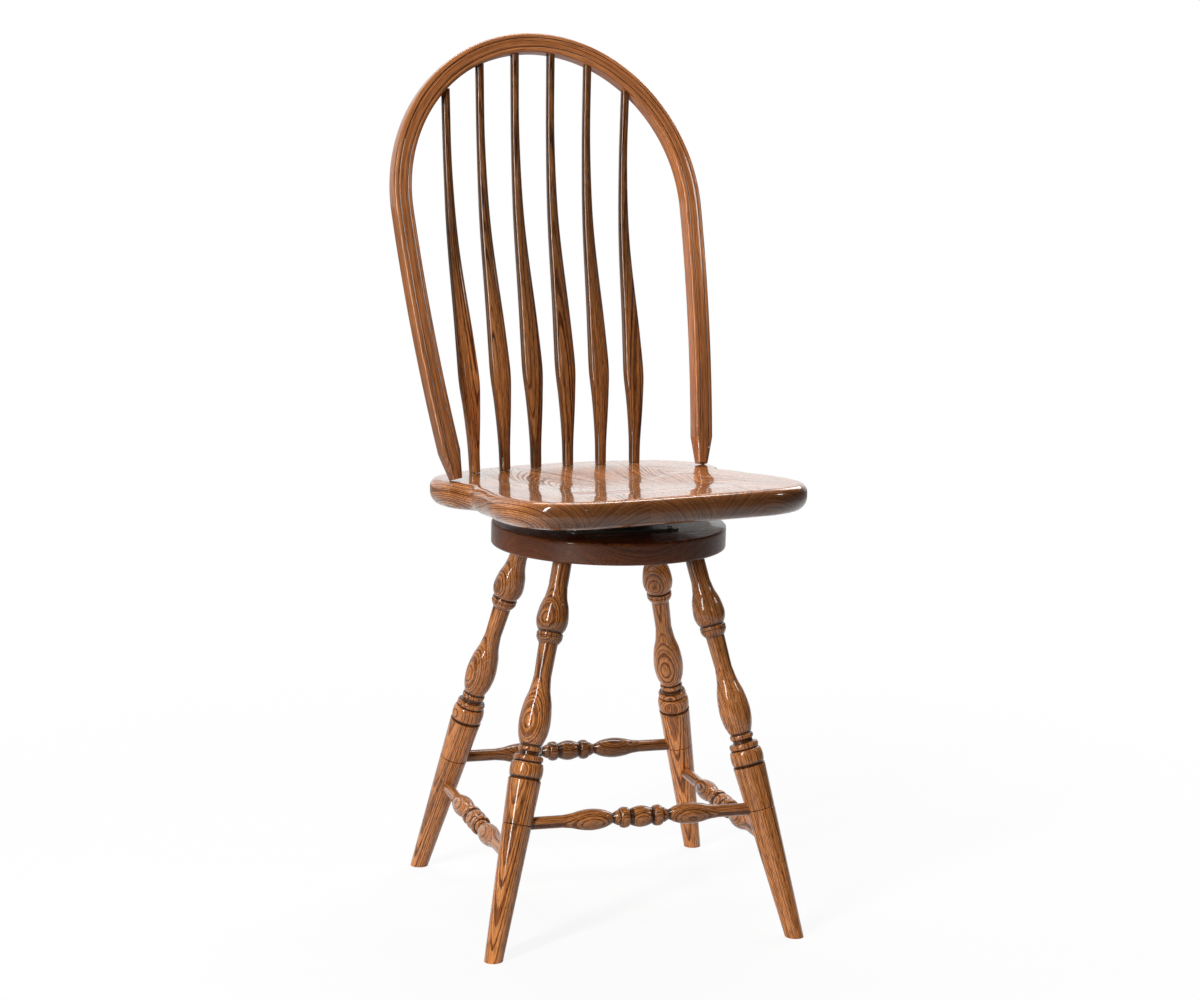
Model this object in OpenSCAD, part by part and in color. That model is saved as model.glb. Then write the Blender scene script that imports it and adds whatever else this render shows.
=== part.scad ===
// Swivel bar stool with a bow back.
// A turned base carries a flat ball-bearing swivel, and the seat turns on it with its hoop and spindles.
// The stool faces -Y and +Z is up. The origin is on the floor, below the middle of the whole stool.

/* [Base] */
// Height of the underside of the base disk
disk_underside = 522; // [440:1:700]
// Diameter of the base disk
disk_d = 330; // [310:1:380]
// Thickness of the base disk
disk_t = 30.5; // [28:0.5:40]
// Distance between neighbouring feet, centre to centre at the floor
foot_spread = 432; // [380:1:470]
// Distance between neighbouring leg tops, centre to centre under the disk
leg_top_spread = 188; // [176:1:204]
// Turn of the base under the seat, seen from above
base_turn = -12; // [-45:1:45]
// Rounding of the disk's two rims
disk_edge = 2.5; // [1:0.5:4]

/* [Legs] */
// Diameter of a leg at the floor
foot_d = 25.2; // [22:0.2:30]
// Diameter of the shaft at the incised line under the barrel
shaft_d = 45.2; // [42:0.2:50]
// Diameter of the barrel
barrel_d = 46; // [43:0.5:52]
// Height of the barrel
barrel_h = 23.5; // [18:0.5:28]
// Diameter of the collar bead
collar_d = 41; // [36:0.5:44]
// Height of the collar bead
collar_h = 9.5; // [7:0.5:12]
// Diameter of the narrow waist above the collar
waist_d = 28; // [24:0.5:31]
// Height of the narrow waist
waist_h = 5; // [3:0.5:8]
// Diameter of the ring bead under the long vase
ring_d = 33; // [32:0.5:38]
// Height of the ring bead
ring_h = 7.5; // [5:0.5:10]
// Diameter of the long vase
vase_d = 43.4; // [38:0.2:48]
// Height of the long vase
vase_h = 93; // [80:1:105]
// Diameter of the neck between the two vases
neck_d = 23.8; // [22:0.5:28]
// Length of the neck between the two vases
neck_h = 45; // [35:1:55]
// Diameter of the flared ring over the neck
flare_d = 36.6; // [32:0.2:40]
// Height of the flared ring
flare_h = 16.5; // [12:0.5:20]
// Diameter of the short upper vase
upper_vase_d = 44; // [40:0.2:50]
// Height of the short upper vase
upper_vase_h = 62; // [50:1:70]
// Diameter of the leg under the disk
top_neck_d = 26.4; // [25:0.2:32]
// Length of the plain leg under the disk
top_neck_h = 40; // [30:1:50]
// Diameter of the round tenon in the disk
leg_tenon_d = 22; // [18:0.5:24]
// Length of the round tenon in the disk
leg_tenon_l = 20; // [16:1:22]

/* [Stretchers] */
// Height of the front and back stretchers
front_rail_z = 175; // [160:1:220]
// Height of the left and right stretchers
side_rail_z = 130; // [90:1:140]
// Diameter of a stretcher's plain ends
rail_end_d = 17.4; // [14:0.2:20]
// Diameter of a stretcher's two bulges
rail_bulge_d = 29.4; // [24:0.2:33]
// Diameter of a stretcher's middle ball
rail_ball_d = 29.4; // [24:0.2:33]
// Diameter of a stretcher's two rings
rail_ring_d = 29; // [24:0.2:32]
// Diameter of the groove beside the ball
rail_groove_d = 20.6; // [17:0.2:22]
// Diameter of a stretcher's necks
rail_neck_d = 13.6; // [11:0.2:16]

/* [Swivel] */
// Height of the swivel at its middle, from the disk to the seat
swivel_h = 23.5; // [22:0.5:30]
// Side of the square lower and upper plates
plate_w = 160; // [154:1:178]
// Thickness of the pressed steel plates
plate_t = 2.5; // [2:0.1:3]
// Corner radius of the plates
plate_corner = 12; // [6:1:18]
// Number of bearing balls
ball_count = 20; // [12:1:26]
// Diameter of the bearing balls
ball_d = 8; // [7:0.5:8]
// Diameter of the circle that the balls run on
race_d = 108; // [100:1:112]
// Diameter of the centre rivet's shank
rivet_d = 12; // [10:0.5:14]
// Diameter of the rivet's heads
rivet_head_d = 20; // [17:0.5:24]

/* [Seat] */
// Backward tilt of the seat
seat_tilt = 2.8; // [0:0.1:3]
// Thickness of the seat
seat_t = 38; // [36:0.5:44]
// Width of the seat across its front part
seat_front_w = 460; // [440:1:490]
// Width of the seat across the ears
seat_ear_w = 444; // [434:1:456]
// Width of the seat across the waist in front of the ears
seat_waist_w = 410; // [400:1:424]
// Distance from the swivel axis to the front edge
seat_front = 222; // [205:1:240]
// Distance from the swivel axis to the back edge
seat_back = 221; // [212:1:235]
// Radius of the rounded upper edge
seat_upper_r = 12; // [8:0.5:15]
// Radius of the rounded lower edge
seat_lower_r = 20; // [12:0.5:20]
// Depth of the scooped sitting surface
scoop = 8; // [0:0.5:10]

/* [Bow] */
// Distance between the hoop's feet, centre to centre
bow_foot_w = 399; // [390:1:405]
// Distance of the hoop's feet behind the swivel axis
bow_foot_y = 81; // [75:1:95]
// Backward lean of the hoop from the seat
bow_lean = 13.8; // [10:0.1:17]
// Radius of the hoop's top, along the middle of the stock
bow_r = 235; // [225:1:245]
// Height of the centre of that arc above the seat, along the hoop
bow_centre = 393; // [360:1:420]
// Drop of the arc's ends below its centre
bow_turn_in = 1.9; // [0.5:0.1:2.5]
// Width of the bow stock, across its front
bow_w = 28; // [26:0.5:32]
// Thickness of the bow stock, front to back
bow_t = 22; // [20:0.5:26]
// Rounding of the bow stock's edges
bow_edge = 4.5; // [2:0.5:6]
// Distance of each front groove from the middle of the stock
groove_offset = 6.6; // [5:0.2:7]
// Depth of the front grooves
groove_depth = 0.9; // [0.4:0.1:1.5]
// Diameter of the hoop at the seat
bow_foot_d = 17.6; // [16:0.2:20]
// Length of the hand-tapered end of each limb
bow_taper = 42; // [30:1:60]
// Length of the hoop's round tenons
bow_tenon_l = 24; // [18:1:26]

/* [Spindles] */
// Spacing of the spindles at the seat
spindle_seat_gap = 52.6; // [48:0.2:54]
// Spacing of the spindles at the hoop
spindle_bow_gap = 58.7; // [52:0.1:60]
// Distance of the middle of the spindle row behind the swivel axis
spindle_row_y = 172; // [160:1:176]
// Radius of the curved row of spindles on the seat
spindle_row_r = 720; // [500:10:2000]
// Diameter of a spindle at the seat
spindle_foot_d = 16; // [14:0.2:18]
// Diameter of a spindle at the hoop
spindle_top_d = 12.7; // [11:0.1:14]
// Width of a spindle's paddle
paddle_w = 30; // [24:0.5:32]
// Thickness of a spindle's paddle
paddle_t = 17.5; // [14:0.5:20]
// Forward bend of a spindle near the paddle
bend_forward = 5.7; // [0:0.1:8]
// Backward bend of a spindle above the paddle
bend_back = 13.6; // [0:0.1:16]

/* [Fit] */
// Gap around a glued tenon
tenon_fit = 0.1; // [0.05:0.01:0.2]
// Gap around the rivet in the plate that turns on it
rivet_fit = 0.05; // [0.02:0.01:0.1]
// Gap between the balls and the turning race
race_gap = 0.3; // [0.2:0.05:0.4]
// Depth left empty below a tenon
socket_room = 1; // [0.5:0.1:1.5]

/* [Hidden] */
$fn = 64;

oak = "#9a5526";
dark_oak = "#6b3518";
black_steel = "#1b1b1c";
bright_steel = "#b9bcc0";
nylon = "#d8d4c6";

// Swivel axis, set forward of the origin so that the origin is in the middle of the whole depth
axis_y = -2.3;

disk_top = disk_underside + disk_t;
seat_z = disk_top + swivel_h + seat_t / cos(seat_tilt);

// Legs: each runs from its foot, on the floor, to its top, at the disk's underside
foot_at = foot_spread / 2;
leg_top_at = leg_top_spread / 2;
leg_tilt = atan(sqrt(2) * (foot_at - leg_top_at) / disk_underside);
leg_len = disk_underside / cos(leg_tilt);
groove_h = 1.8;
groove_cut = 1.2;
vase_gap = 2;
shaft_len = leg_len - top_neck_h - upper_vase_h - flare_h - neck_h - vase_h - vase_gap
          - ring_h - waist_h - collar_h - barrel_h;
barrel_z = shaft_len;
collar_z = barrel_z + barrel_h;
waist_z = collar_z + collar_h;
ring_z = waist_z + waist_h;
vase_z = ring_z + ring_h + vase_gap;
neck_z = vase_z + vase_h;
flare_z = neck_z + neck_h;
upper_vase_z = flare_z + flare_h;
top_neck_z = upper_vase_z + upper_vase_h;

// Stretchers: distances from the middle of a stretcher
rail_ball_end = 16.5;
rail_ring_end = 31;
rail_step_end = 34;
rail_neck_at = 40;
rail_bulge_end = 112;
rail_past_axis = 1;

// Swivel: heights above the disk
dish_h = 3.2;
dish_r = 36;
race_w = 16;
ball_z = 10;
race_land = 1.3;
cage_t = 1.6;
cage_w = 13;
ball_fit = 0.1;
upper_disc_z = ball_z + race_land;
upper_disc_t = 4.4;
skirt_r = (race_d + race_w) / 2 + plate_t;
rivet_head_t = 2.2;
screw_inset = 12;
screw_at = plate_w / 2 - screw_inset;
screw_d = 4;
screw_head_d = 8.4;
screw_head_t = 2.4;
screw_l = 18;
screw_fit = 0.15;

// Seat
front_half = seat_front_w / 2;
ear_half = seat_ear_w / 2;
waist_half = seat_waist_w / 2;
outline_steps = 4;
edge_steps = 4;
scoop_rings = 6;
scoop_centre_y = -10;
scoop_rim = 0.79;
scoop_run = 0.6;

// Bow: angles of the arcs, and the long arc of each limb, which meets the top arc smoothly
bow_foot = [bow_foot_w / 2, 0];
bow_arc_end = [bow_r * cos(bow_turn_in), bow_centre - bow_r * sin(bow_turn_in)];
limb_chord = bow_foot - bow_arc_end;
limb_normal = [cos(bow_turn_in), -sin(bow_turn_in)];
limb_r = -(limb_chord * limb_chord) / (2 * (limb_chord * limb_normal));
limb_sweep = 2 * asin(norm(limb_chord) / (2 * limb_r));
limb_centre = bow_arc_end - limb_r * limb_normal;
limb_foot_angle = bow_turn_in + limb_sweep;
bow_steps = 44;
limb_steps = 8;
bow_corner_r = norm([bow_w / 2 - bow_edge, bow_t / 2 - bow_edge]) + bow_edge;
bow_foot_lift = bow_foot_d / 2 * tan(bow_lean) + 0.4;
bow_tenon_d = bow_foot_d - 0.6;

// Spindles
spindle_count = 6;
spindle_sides = 12;
spindle_rings = 18;
spindle_tenon_l = 20;
spindle_top_tenon_l = 15;
paddle_at = 0.235;
spindle_lift = 0.4;
spindle_stop = 8;

// Smooth curve through knots of [place, value], read at any place
function slope(k, i) =
    let (a = max(i - 1, 0), b = min(i + 1, len(k) - 1)) (k[b][1] - k[a][1]) / (k[b][0] - k[a][0]);
function span_of(k, t, i = 0) = i >= len(k) - 2 || t < k[i + 1][0] ? i : span_of(k, t, i + 1);
function smooth_at(k, t) =
    let (i = span_of(k, t), h = k[i + 1][0] - k[i][0], u = (t - k[i][0]) / h)
    (1 + 2 * u) * pow(1 - u, 2) * k[i][1] + u * pow(1 - u, 2) * h * slope(k, i)
    + u * u * (3 - 2 * u) * k[i + 1][1] + u * u * (u - 1) * h * slope(k, i + 1);

// Turned shapes, as points of [radius, height]
function bead(z, h, r, peak, n = 8) =
    [for (i = [0:n]) [r + (peak - r) * sin(180 * i / n), z + h * (1 - cos(180 * i / n)) / 2]];
function vase(z, h, widest, r0, r1, r2, n = 18) =
    let (k = [[0, r0], [0.4 * widest, r0 + 0.68 * (r1 - r0)], [widest, r1],
              [widest + 0.4 * (1 - widest), r1 - 0.27 * (r1 - r2)],
              [widest + 0.68 * (1 - widest), r2 + 0.27 * (r1 - r2)], [1, r2]])
    [for (i = [0:n]) [smooth_at(k, i / n), z + h * i / n]];
function incised(z, r) = [[r, z - groove_h / 2], [r - groove_cut, z], [r, z + groove_h / 2]];

// Frames of the two bodies
module in_base() {
    translate([0, axis_y, 0]) rotate([0, 0, base_turn]) children();
}
module in_seat() {
    translate([0, axis_y, seat_z]) rotate([-seat_tilt, 0, 0]) children();
}
module on_disk() {
    in_base() translate([0, 0, disk_top]) children();
}

// A leg's own frame: its axis is Z, and it starts at the foot. side and face are -1 or 1.
module along_leg(side, face) {
    translate([side * foot_at, face * foot_at, 0])
        rotate([0, leg_tilt, atan2(-face, -side)]) children();
}

// Half the distance between leg axes at a height, and a socket or end that points at a leg's axis
function leg_at(z) = foot_at + (leg_top_at - foot_at) * z / disk_underside;
function shaft_r_at(s) = (foot_d + (shaft_d - foot_d) * s / shaft_len) / 2;

function leg_outline() =
    let (below = -12, scribe = front_rail_z / cos(leg_tilt), r_scribe = shaft_r_at(scribe))
    concat(
        [[0, below], [shaft_r_at(below), below]],
        incised(scribe, r_scribe),
        incised(barrel_z, shaft_d / 2),
        bead(barrel_z + groove_h / 2, barrel_h - groove_h / 2, barrel_d / 2 - 3.2, barrel_d / 2, 10),
        bead(collar_z + 0.4, collar_h - 0.4, collar_d / 2 - 2.5, collar_d / 2),
        [[waist_d / 2, waist_z + 0.6], [waist_d / 2, ring_z - 0.3]],
        bead(ring_z, ring_h, ring_d / 2 - 2.2, ring_d / 2),
        [[ring_d / 2 - 1.9, vase_z - 0.6]],
        vase(vase_z, vase_h, 0.34, ring_d / 2 - 1, vase_d / 2, neck_d / 2),
        [[neck_d / 2, flare_z]],
        [for (i = [1:5]) [neck_d / 2 + (flare_d - neck_d) / 2 * sin(15 * i + 10),
                          flare_z + (flare_h - 6.5) * i / 5]],
        bead(upper_vase_z - 6.4, 5.6, flare_d / 2 - 1.2, flare_d / 2, 6),
        vase(upper_vase_z, upper_vase_h, 0.27, flare_d / 2 - 1.6, upper_vase_d / 2, top_neck_d / 2),
        [[top_neck_d / 2, leg_len + 12], [0, leg_len + 12]]);

module leg_tenon(gap, extra) {
    translate([0, 0, leg_len - 9]) cylinder(d = leg_tenon_d + 2 * gap, h = 9 + leg_tenon_l + extra);
}

// Stretcher places in the base frame: heights, ends and the socket that each leg gets
module rail_frame(angle, z) {
    rotate([0, 0, angle]) translate([0, -leg_at(z), z]) rotate([0, 90, 0]) children();
}
module rail_socket(side, face) {
    for (way = [[face < 0 ? 0 : 180, front_rail_z, side * -face], [side < 0 ? -90 : 90, side_rail_z, face * side]])
        rail_frame(way[0], way[1])
            translate([0, 0, way[2] * leg_at(way[1])])
                rotate([way[2] > 0 ? 180 : 0, 0, 0])
                    translate([0, 0, -rail_past_axis - socket_room])
                        cylinder(d = rail_end_d + 2 * tenon_fit, h = 50);
}

module leg(side, face) {
    color(oak) in_base() difference() {
        union() {
            intersection() {
                along_leg(side, face) rotate_extrude() polygon(leg_outline());
                translate([-disk_d, -disk_d, 0]) cube([2 * disk_d, 2 * disk_d, disk_underside]);
            }
            along_leg(side, face) leg_tenon(0, 0);
        }
        rail_socket(side, face);
    }
}

function rail_half(reach) =
    concat(
        [for (i = [0:8]) [rail_groove_d / 2 + (rail_ball_d - rail_groove_d) / 2 * cos(90 * i / 8),
                          rail_ball_end * i / 8]],
        bead(rail_ball_end, rail_ring_end - rail_ball_end, rail_groove_d / 2, rail_ring_d / 2, 8),
        [[rail_groove_d / 2 - 0.2, rail_step_end]],
        vase(rail_neck_at, rail_bulge_end - rail_neck_at, 0.42, rail_neck_d / 2, rail_bulge_d / 2,
             rail_end_d / 2),
        [[rail_end_d / 2, reach], [0, reach]]);

module stretcher(angle, z) {
    reach = leg_at(z) + rail_past_axis;
    half = rail_half(reach);
    mirrored = [for (i = [len(half) - 1:-1:1]) [half[i][0], -half[i][1]]];
    color(oak) in_base() rail_frame(angle, z) rotate_extrude() polygon(concat(mirrored, half));
}

module screw_places() {
    for (x = [-1, 1], y = [-1, 1]) translate([x * screw_at, y * screw_at, 0]) children();
}

module base_disk() {
    r = disk_d / 2 - disk_edge;
    rim = concat([for (i = [-6:0]) [r + disk_edge * cos(15 * i), disk_edge * (1 + sin(15 * i))]],
                 [for (i = [0:6]) [r + disk_edge * cos(15 * i), disk_t - disk_edge * (1 - sin(15 * i))]]);
    color(dark_oak) in_base() difference() {
        translate([0, 0, disk_underside])
            rotate_extrude($fn = 128) polygon(concat([[0, 0]], rim, [[0, disk_t]]));
        for (side = [-1, 1], face = [-1, 1])
            along_leg(side, face) leg_tenon(tenon_fit, socket_room);
        translate([0, 0, disk_top]) screw_places()
            translate([0, 0, -screw_l - socket_room])
                cylinder(d = screw_d + 2 * screw_fit, h = screw_l + socket_room + 1);
    }
}

// One wood screw, its head's underside at 0 and its shank pointing down
module screw() {
    cylinder(d = screw_head_d, h = screw_head_t * 0.4);
    translate([0, 0, screw_head_t * 0.4])
        cylinder(d1 = screw_head_d, d2 = screw_head_d * 0.6, h = screw_head_t * 0.6);
    translate([0, 0, 4.01 - screw_l]) cylinder(d = screw_d, h = screw_l - 4);
    translate([0, 0, -screw_l]) cylinder(d1 = 0.8, d2 = screw_d, h = 4.02);
}

module base_screws() {
    color(bright_steel) on_disk() translate([0, 0, plate_t]) screw_places() screw();
}

// Square sheet with round corners
module sheet(w, t, corner) {
    c = w / 2 - corner;
    for (turn = [0, 90]) rotate([0, 0, turn])
        translate([-w / 2, -c, 0]) cube([w, 2 * c, t]);
    for (x = [-c, c], y = [-c, c]) translate([x, y, 0]) cylinder(r = corner, h = t);
}

// Ring of rectangular section with the ball groove cut in one face
module race_ring(z, h, gap) {
    difference() {
        translate([0, 0, z]) rotate_extrude($fn = 96)
            translate([(race_d - race_w) / 2, 0]) square([race_w, h]);
        translate([0, 0, ball_z]) rotate_extrude($fn = 96)
            translate([race_d / 2, 0]) circle(d = ball_d + 2 * gap, $fn = 32);
    }
}

module swivel_lower_plate() {
    dish = [[rivet_d / 2 + rivet_fit, dish_h], [dish_r - 5, dish_h], [dish_r, 0], [dish_r + 6, 0],
            [dish_r + 6, plate_t], [dish_r + 1, plate_t], [dish_r - 4, dish_h + plate_t],
            [rivet_d / 2 + rivet_fit, dish_h + plate_t]];
    color(black_steel) on_disk() {
        difference() {
            sheet(plate_w, plate_t, plate_corner);
            translate([0, 0, -1]) cylinder(r = dish_r + 3, h = plate_t + 2);
            screw_places() translate([0, 0, -1]) cylinder(d = screw_d + 2 * screw_fit, h = plate_t + 2);
        }
        rotate_extrude() polygon(dish);
        race_ring(0, ball_z - race_land, ball_fit);
    }
}

module swivel_rivet() {
    top = upper_disc_z + plate_t + race_gap;
    color(bright_steel) on_disk() {
        translate([0, 0, dish_h - rivet_head_t]) cylinder(d = rivet_head_d, h = rivet_head_t);
        translate([0, 0, dish_h - rivet_head_t]) cylinder(d = rivet_d, h = top - dish_h + rivet_head_t + 0.5);
        translate([0, 0, top]) cylinder(d = rivet_head_d, h = rivet_head_t * 0.5);
        translate([0, 0, top + rivet_head_t * 0.5])
            cylinder(d1 = rivet_head_d, d2 = rivet_head_d * 0.7, h = rivet_head_t * 0.5);
    }
}

module ball_places() {
    for (i = [0:ball_count - 1]) rotate([0, 0, 360 * i / ball_count])
        translate([race_d / 2, 0, ball_z]) children();
}

module bearing_balls() {
    color(bright_steel) on_disk() ball_places() sphere(d = ball_d, $fn = 32);
}

module bearing_cage() {
    color(nylon) on_disk() difference() {
        translate([0, 0, ball_z - cage_t / 2]) difference() {
            cylinder(d = race_d + cage_w, h = cage_t, $fn = 96);
            translate([0, 0, -1]) cylinder(d = race_d - cage_w, h = cage_t + 2, $fn = 96);
        }
        ball_places() translate([0, 0, -cage_t]) cylinder(d = ball_d + 0.6, h = 2 * cage_t);
    }
}

// The race disc is level. A skirt joins it to the flange, which lies flat under the tilted seat.
module swivel_upper_plate() {
    tall = swivel_h + 20;
    color(black_steel) {
        difference() {
            translate([0, axis_y, disk_top]) {
                race_ring(upper_disc_z, upper_disc_t, race_gap);
                translate([0, 0, upper_disc_z]) difference() {
                    cylinder(r = (race_d - race_w) / 2 + 1, h = plate_t);
                    translate([0, 0, -1]) cylinder(d = rivet_d + 2 * rivet_fit, h = plate_t + 2);
                }
                translate([0, 0, upper_disc_z]) difference() {
                    cylinder(r = skirt_r, h = tall - upper_disc_z, $fn = 96);
                    translate([0, 0, -1]) cylinder(r = skirt_r - plate_t, h = tall, $fn = 96);
                }
            }
            in_seat() translate([-plate_w, -plate_w, -seat_t]) cube([2 * plate_w, 2 * plate_w, 60]);
        }
        difference() {
            in_seat() translate([0, 0, -seat_t - plate_t]) difference() {
                sheet(plate_w, plate_t, plate_corner);
                screw_places() translate([0, 0, -1]) cylinder(d = screw_d + 2 * screw_fit, h = plate_t + 2);
            }
            translate([0, axis_y, disk_top]) cylinder(r = skirt_r - plate_t / 2, h = tall, $fn = 96);
        }
    }
}

module seat_screws() {
    color(bright_steel) in_seat() translate([0, 0, -seat_t - plate_t])
        screw_places() rotate([180, 0, 0]) screw();
}

// Right half of the seat's outline, from the middle of the front edge to the middle of the back edge
seat_half = [
    [0, -seat_front], [front_half - 140, -seat_front], [front_half - 76, -seat_front + 5],
    [front_half - 31, -seat_front + 27], [front_half - 7, -seat_front + 64], [front_half, -seat_front + 105],
    [front_half - 3, -76], [front_half - 12, -36], [waist_half + 8, 0], [waist_half, 27],
    [waist_half + 5, 46], [ear_half - 3, 66], [ear_half, 95], [ear_half - 7, 134],
    [ear_half - 38, seat_back - 47], [ear_half - 96, seat_back - 20], [ear_half - 158, seat_back - 5],
    [0, seat_back]];
seat_knots = concat(seat_half, [for (i = [len(seat_half) - 2:-1:1]) [-seat_half[i][0], seat_half[i][1]]]);

function loop_at(p, i, u) =
    let (n = len(p), a = p[(i + n - 1) % n], b = p[i], c = p[(i + 1) % n], d = p[(i + 2) % n])
    0.5 * (2 * b + (c - a) * u + (2 * a - 5 * b + 4 * c - d) * u * u + (3 * b - a - 3 * c + d) * u * u * u);
function turn_right(v) = [v[1], -v[0]] / norm(v);

seat_outline = [for (i = [0:len(seat_knots) - 1], s = [0:outline_steps - 1])
                loop_at(seat_knots, i, s / outline_steps)];
outline_count = len(seat_outline);
seat_out = [for (i = [0:outline_count - 1])
            turn_right(seat_outline[(i + 1) % outline_count]
                       - seat_outline[(i + outline_count - 1) % outline_count])];

function edge_ring(inset, z) =
    [for (i = [0:outline_count - 1])
     let (p = seat_outline[i] - inset * seat_out[i]) [p[0], p[1], z]];

// Rings of the scooped top shrink towards one point, from the rim (1) inwards, and sink as they go
function scoop_z(f) = let (u = min(1, max(0, (scoop_rim - f) / scoop_run))) -scoop * u * u * (3 - 2 * u);
function scoop_ring(f) =
    [for (i = [0:outline_count - 1])
     let (p = seat_outline[i] - seat_upper_r * seat_out[i])
     [p[0] * f, scoop_centre_y + (p[1] - scoop_centre_y) * f, scoop_z(f)]];

seat_rings = concat(
    [for (a = [0:90 / edge_steps:90])
     edge_ring(seat_lower_r * (1 - sin(a)), -seat_t + seat_lower_r * (1 - cos(a)))],
    [for (a = [90:-90 / edge_steps:0])
     edge_ring(seat_upper_r * (1 - sin(a)), -seat_upper_r * (1 - cos(a)))],
    [for (i = [1:scoop_rings]) scoop_ring(1 - i / (scoop_rings + 1))]);

// Closed skin over rings of equal length, with a middle point at each end
module skin(rings, low, high) {
    n = len(rings[0]);
    m = len(rings);
    points = concat([for (r = rings) each r], [low, high]);
    walls = [for (k = [0:m - 2], i = [0:n - 1])
             let (a = k * n + i, b = k * n + (i + 1) % n) each [[a, a + n, b], [b, a + n, b + n]]];
    floor_fan = [for (i = [0:n - 1]) [i, (i + 1) % n, m * n]];
    roof_fan = [for (i = [0:n - 1]) [(m - 1) * n + (i + 1) % n, (m - 1) * n + i, m * n + 1]];
    polyhedron(points, concat(walls, floor_fan, roof_fan), convexity = 6);
}

module seat() {
    color(oak) in_seat() difference() {
        skin(seat_rings, [0, scoop_centre_y, -seat_t], [0, scoop_centre_y, -scoop]);
        for (i = [1:spindle_count]) spindle_foot_tenon(i, tenon_fit, socket_room);
        for (side = [-1, 1]) bow_tenon(side, tenon_fit, socket_room);
        translate([0, 0, -seat_t]) screw_places()
            translate([0, 0, -1]) cylinder(d = screw_d + 2 * screw_fit, h = screw_l + 1);
    }
}

// Section of the bow stock. x runs outwards from the middle of the stock, and y to the front.
function stock_corner(cx, cy, from) =
    [for (a = [from:22.5:from + 90]) [cx + bow_edge * cos(a), cy + bow_edge * sin(a)]];
function front_groove(x) =
    [[x + groove_depth, bow_t / 2], [x, bow_t / 2 - groove_depth], [x - groove_depth, bow_t / 2]];
function bow_section() =
    let (x = bow_w / 2 - bow_edge, y = bow_t / 2 - bow_edge)
    concat(stock_corner(x, y, 0), front_groove(groove_offset), front_groove(-groove_offset),
           stock_corner(-x, y, 90), stock_corner(-x, -y, 180), stock_corner(x, -y, 270));

// Ring of stock on an arc about c, in the hoop's plane. No point lies further than limit from its middle.
function stock_ring(side, c, r, a, limit = 99) =
    [for (p = bow_section())
     let (q = p * min(1, limit / norm(p)))
     [side * (c[0] + (r + q[0]) * cos(a)), -q[1], c[1] + (r + q[0]) * sin(a)]];
function bow_foot_middle(side) =
    let (a = asin(bow_foot_lift / limb_r) - limb_foot_angle)
    [side * (limb_centre[0] + limb_r * cos(a)), 0, limb_centre[1] + limb_r * sin(a)];
// Ring of a limb, at a distance up from its foot. The lower end is a long round taper, like a pencil's.
function limb_ring(side, up) =
    stock_ring(side, limb_centre, limb_r, asin(up / limb_r) - limb_foot_angle,
               up < bow_taper ? bow_foot_d / 2 + (bow_corner_r - bow_foot_d / 2) * up / bow_taper : 99);

module in_bow() {
    translate([0, bow_foot_y, 0]) rotate([-bow_lean, 0, 0]) children();
}
// A limb's foot: Z runs up the limb from the seat
module at_bow_foot(side) {
    in_bow() translate([side * bow_foot[0], 0, 0]) rotate([0, side * limb_foot_angle, 0]) children();
}
module bow_tenon(side, gap, extra) {
    at_bow_foot(side) translate([0, 0, -bow_tenon_l - extra])
        cylinder(d = bow_tenon_d + 2 * gap, h = bow_tenon_l + extra + bow_foot_lift + 4);
}

module bow_hoop() {
    limb_l = limb_r * sin(limb_sweep);
    places = concat([bow_foot_lift], [for (i = [1:6]) bow_taper * i / 6],
                    [for (i = [1:limb_steps]) bow_taper + (limb_l - bow_taper) * i / limb_steps]);
    last = len(places) - 1;
    turn = 180 + 2 * bow_turn_in;
    rings = concat(
        [for (i = [0:last]) limb_ring(-1, places[i])],
        [for (i = [bow_steps - 1:-1:1])
         stock_ring(1, [0, bow_centre], bow_r, turn * i / bow_steps - bow_turn_in)],
        [for (i = [last:-1:0]) limb_ring(1, places[i])]);
    color(oak) in_seat() difference() {
        union() {
            in_bow() skin(rings, bow_foot_middle(-1), bow_foot_middle(1));
            for (side = [-1, 1]) bow_tenon(side, 0, 0);
        }
        for (i = [1:spindle_count]) spindle_top_tenon(i, tenon_fit, socket_room);
    }
}

// Spindles, numbered from the left. Each runs from the seat to the inner face of the hoop.
function spindle_number(i) = i - (spindle_count + 1) / 2;
function spindle_foot(i) =
    let (x = spindle_seat_gap * spindle_number(i))
    [x, spindle_row_y - spindle_row_r + sqrt(spindle_row_r * spindle_row_r - x * x), spindle_lift];
function spindle_top(i) =
    let (x = spindle_bow_gap * spindle_number(i), inner = bow_r - bow_w / 2,
         w = bow_centre + sqrt(inner * inner - x * x))
    [x, bow_foot_y + w * sin(bow_lean), w * cos(bow_lean)];
bend_knots = [[0, 0], [0.17, -bend_forward], [0.35, 0], [0.6, bend_back], [0.8, 0.85 * bend_back], [1, 0]];
width_knots = [[0, spindle_foot_d], [0.06, spindle_foot_d + 1.2], [0.17, paddle_w - 5],
               [paddle_at, paddle_w], [0.3, paddle_w - 1.4], [0.5, paddle_w - 10],
               [0.62, spindle_top_d + 3.4], [0.82, spindle_top_d], [1, spindle_top_d]];
depth_knots = [[0, spindle_foot_d], [paddle_at, paddle_t], [0.5, paddle_t - 2], [0.82, spindle_top_d],
               [1, spindle_top_d]];

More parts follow.
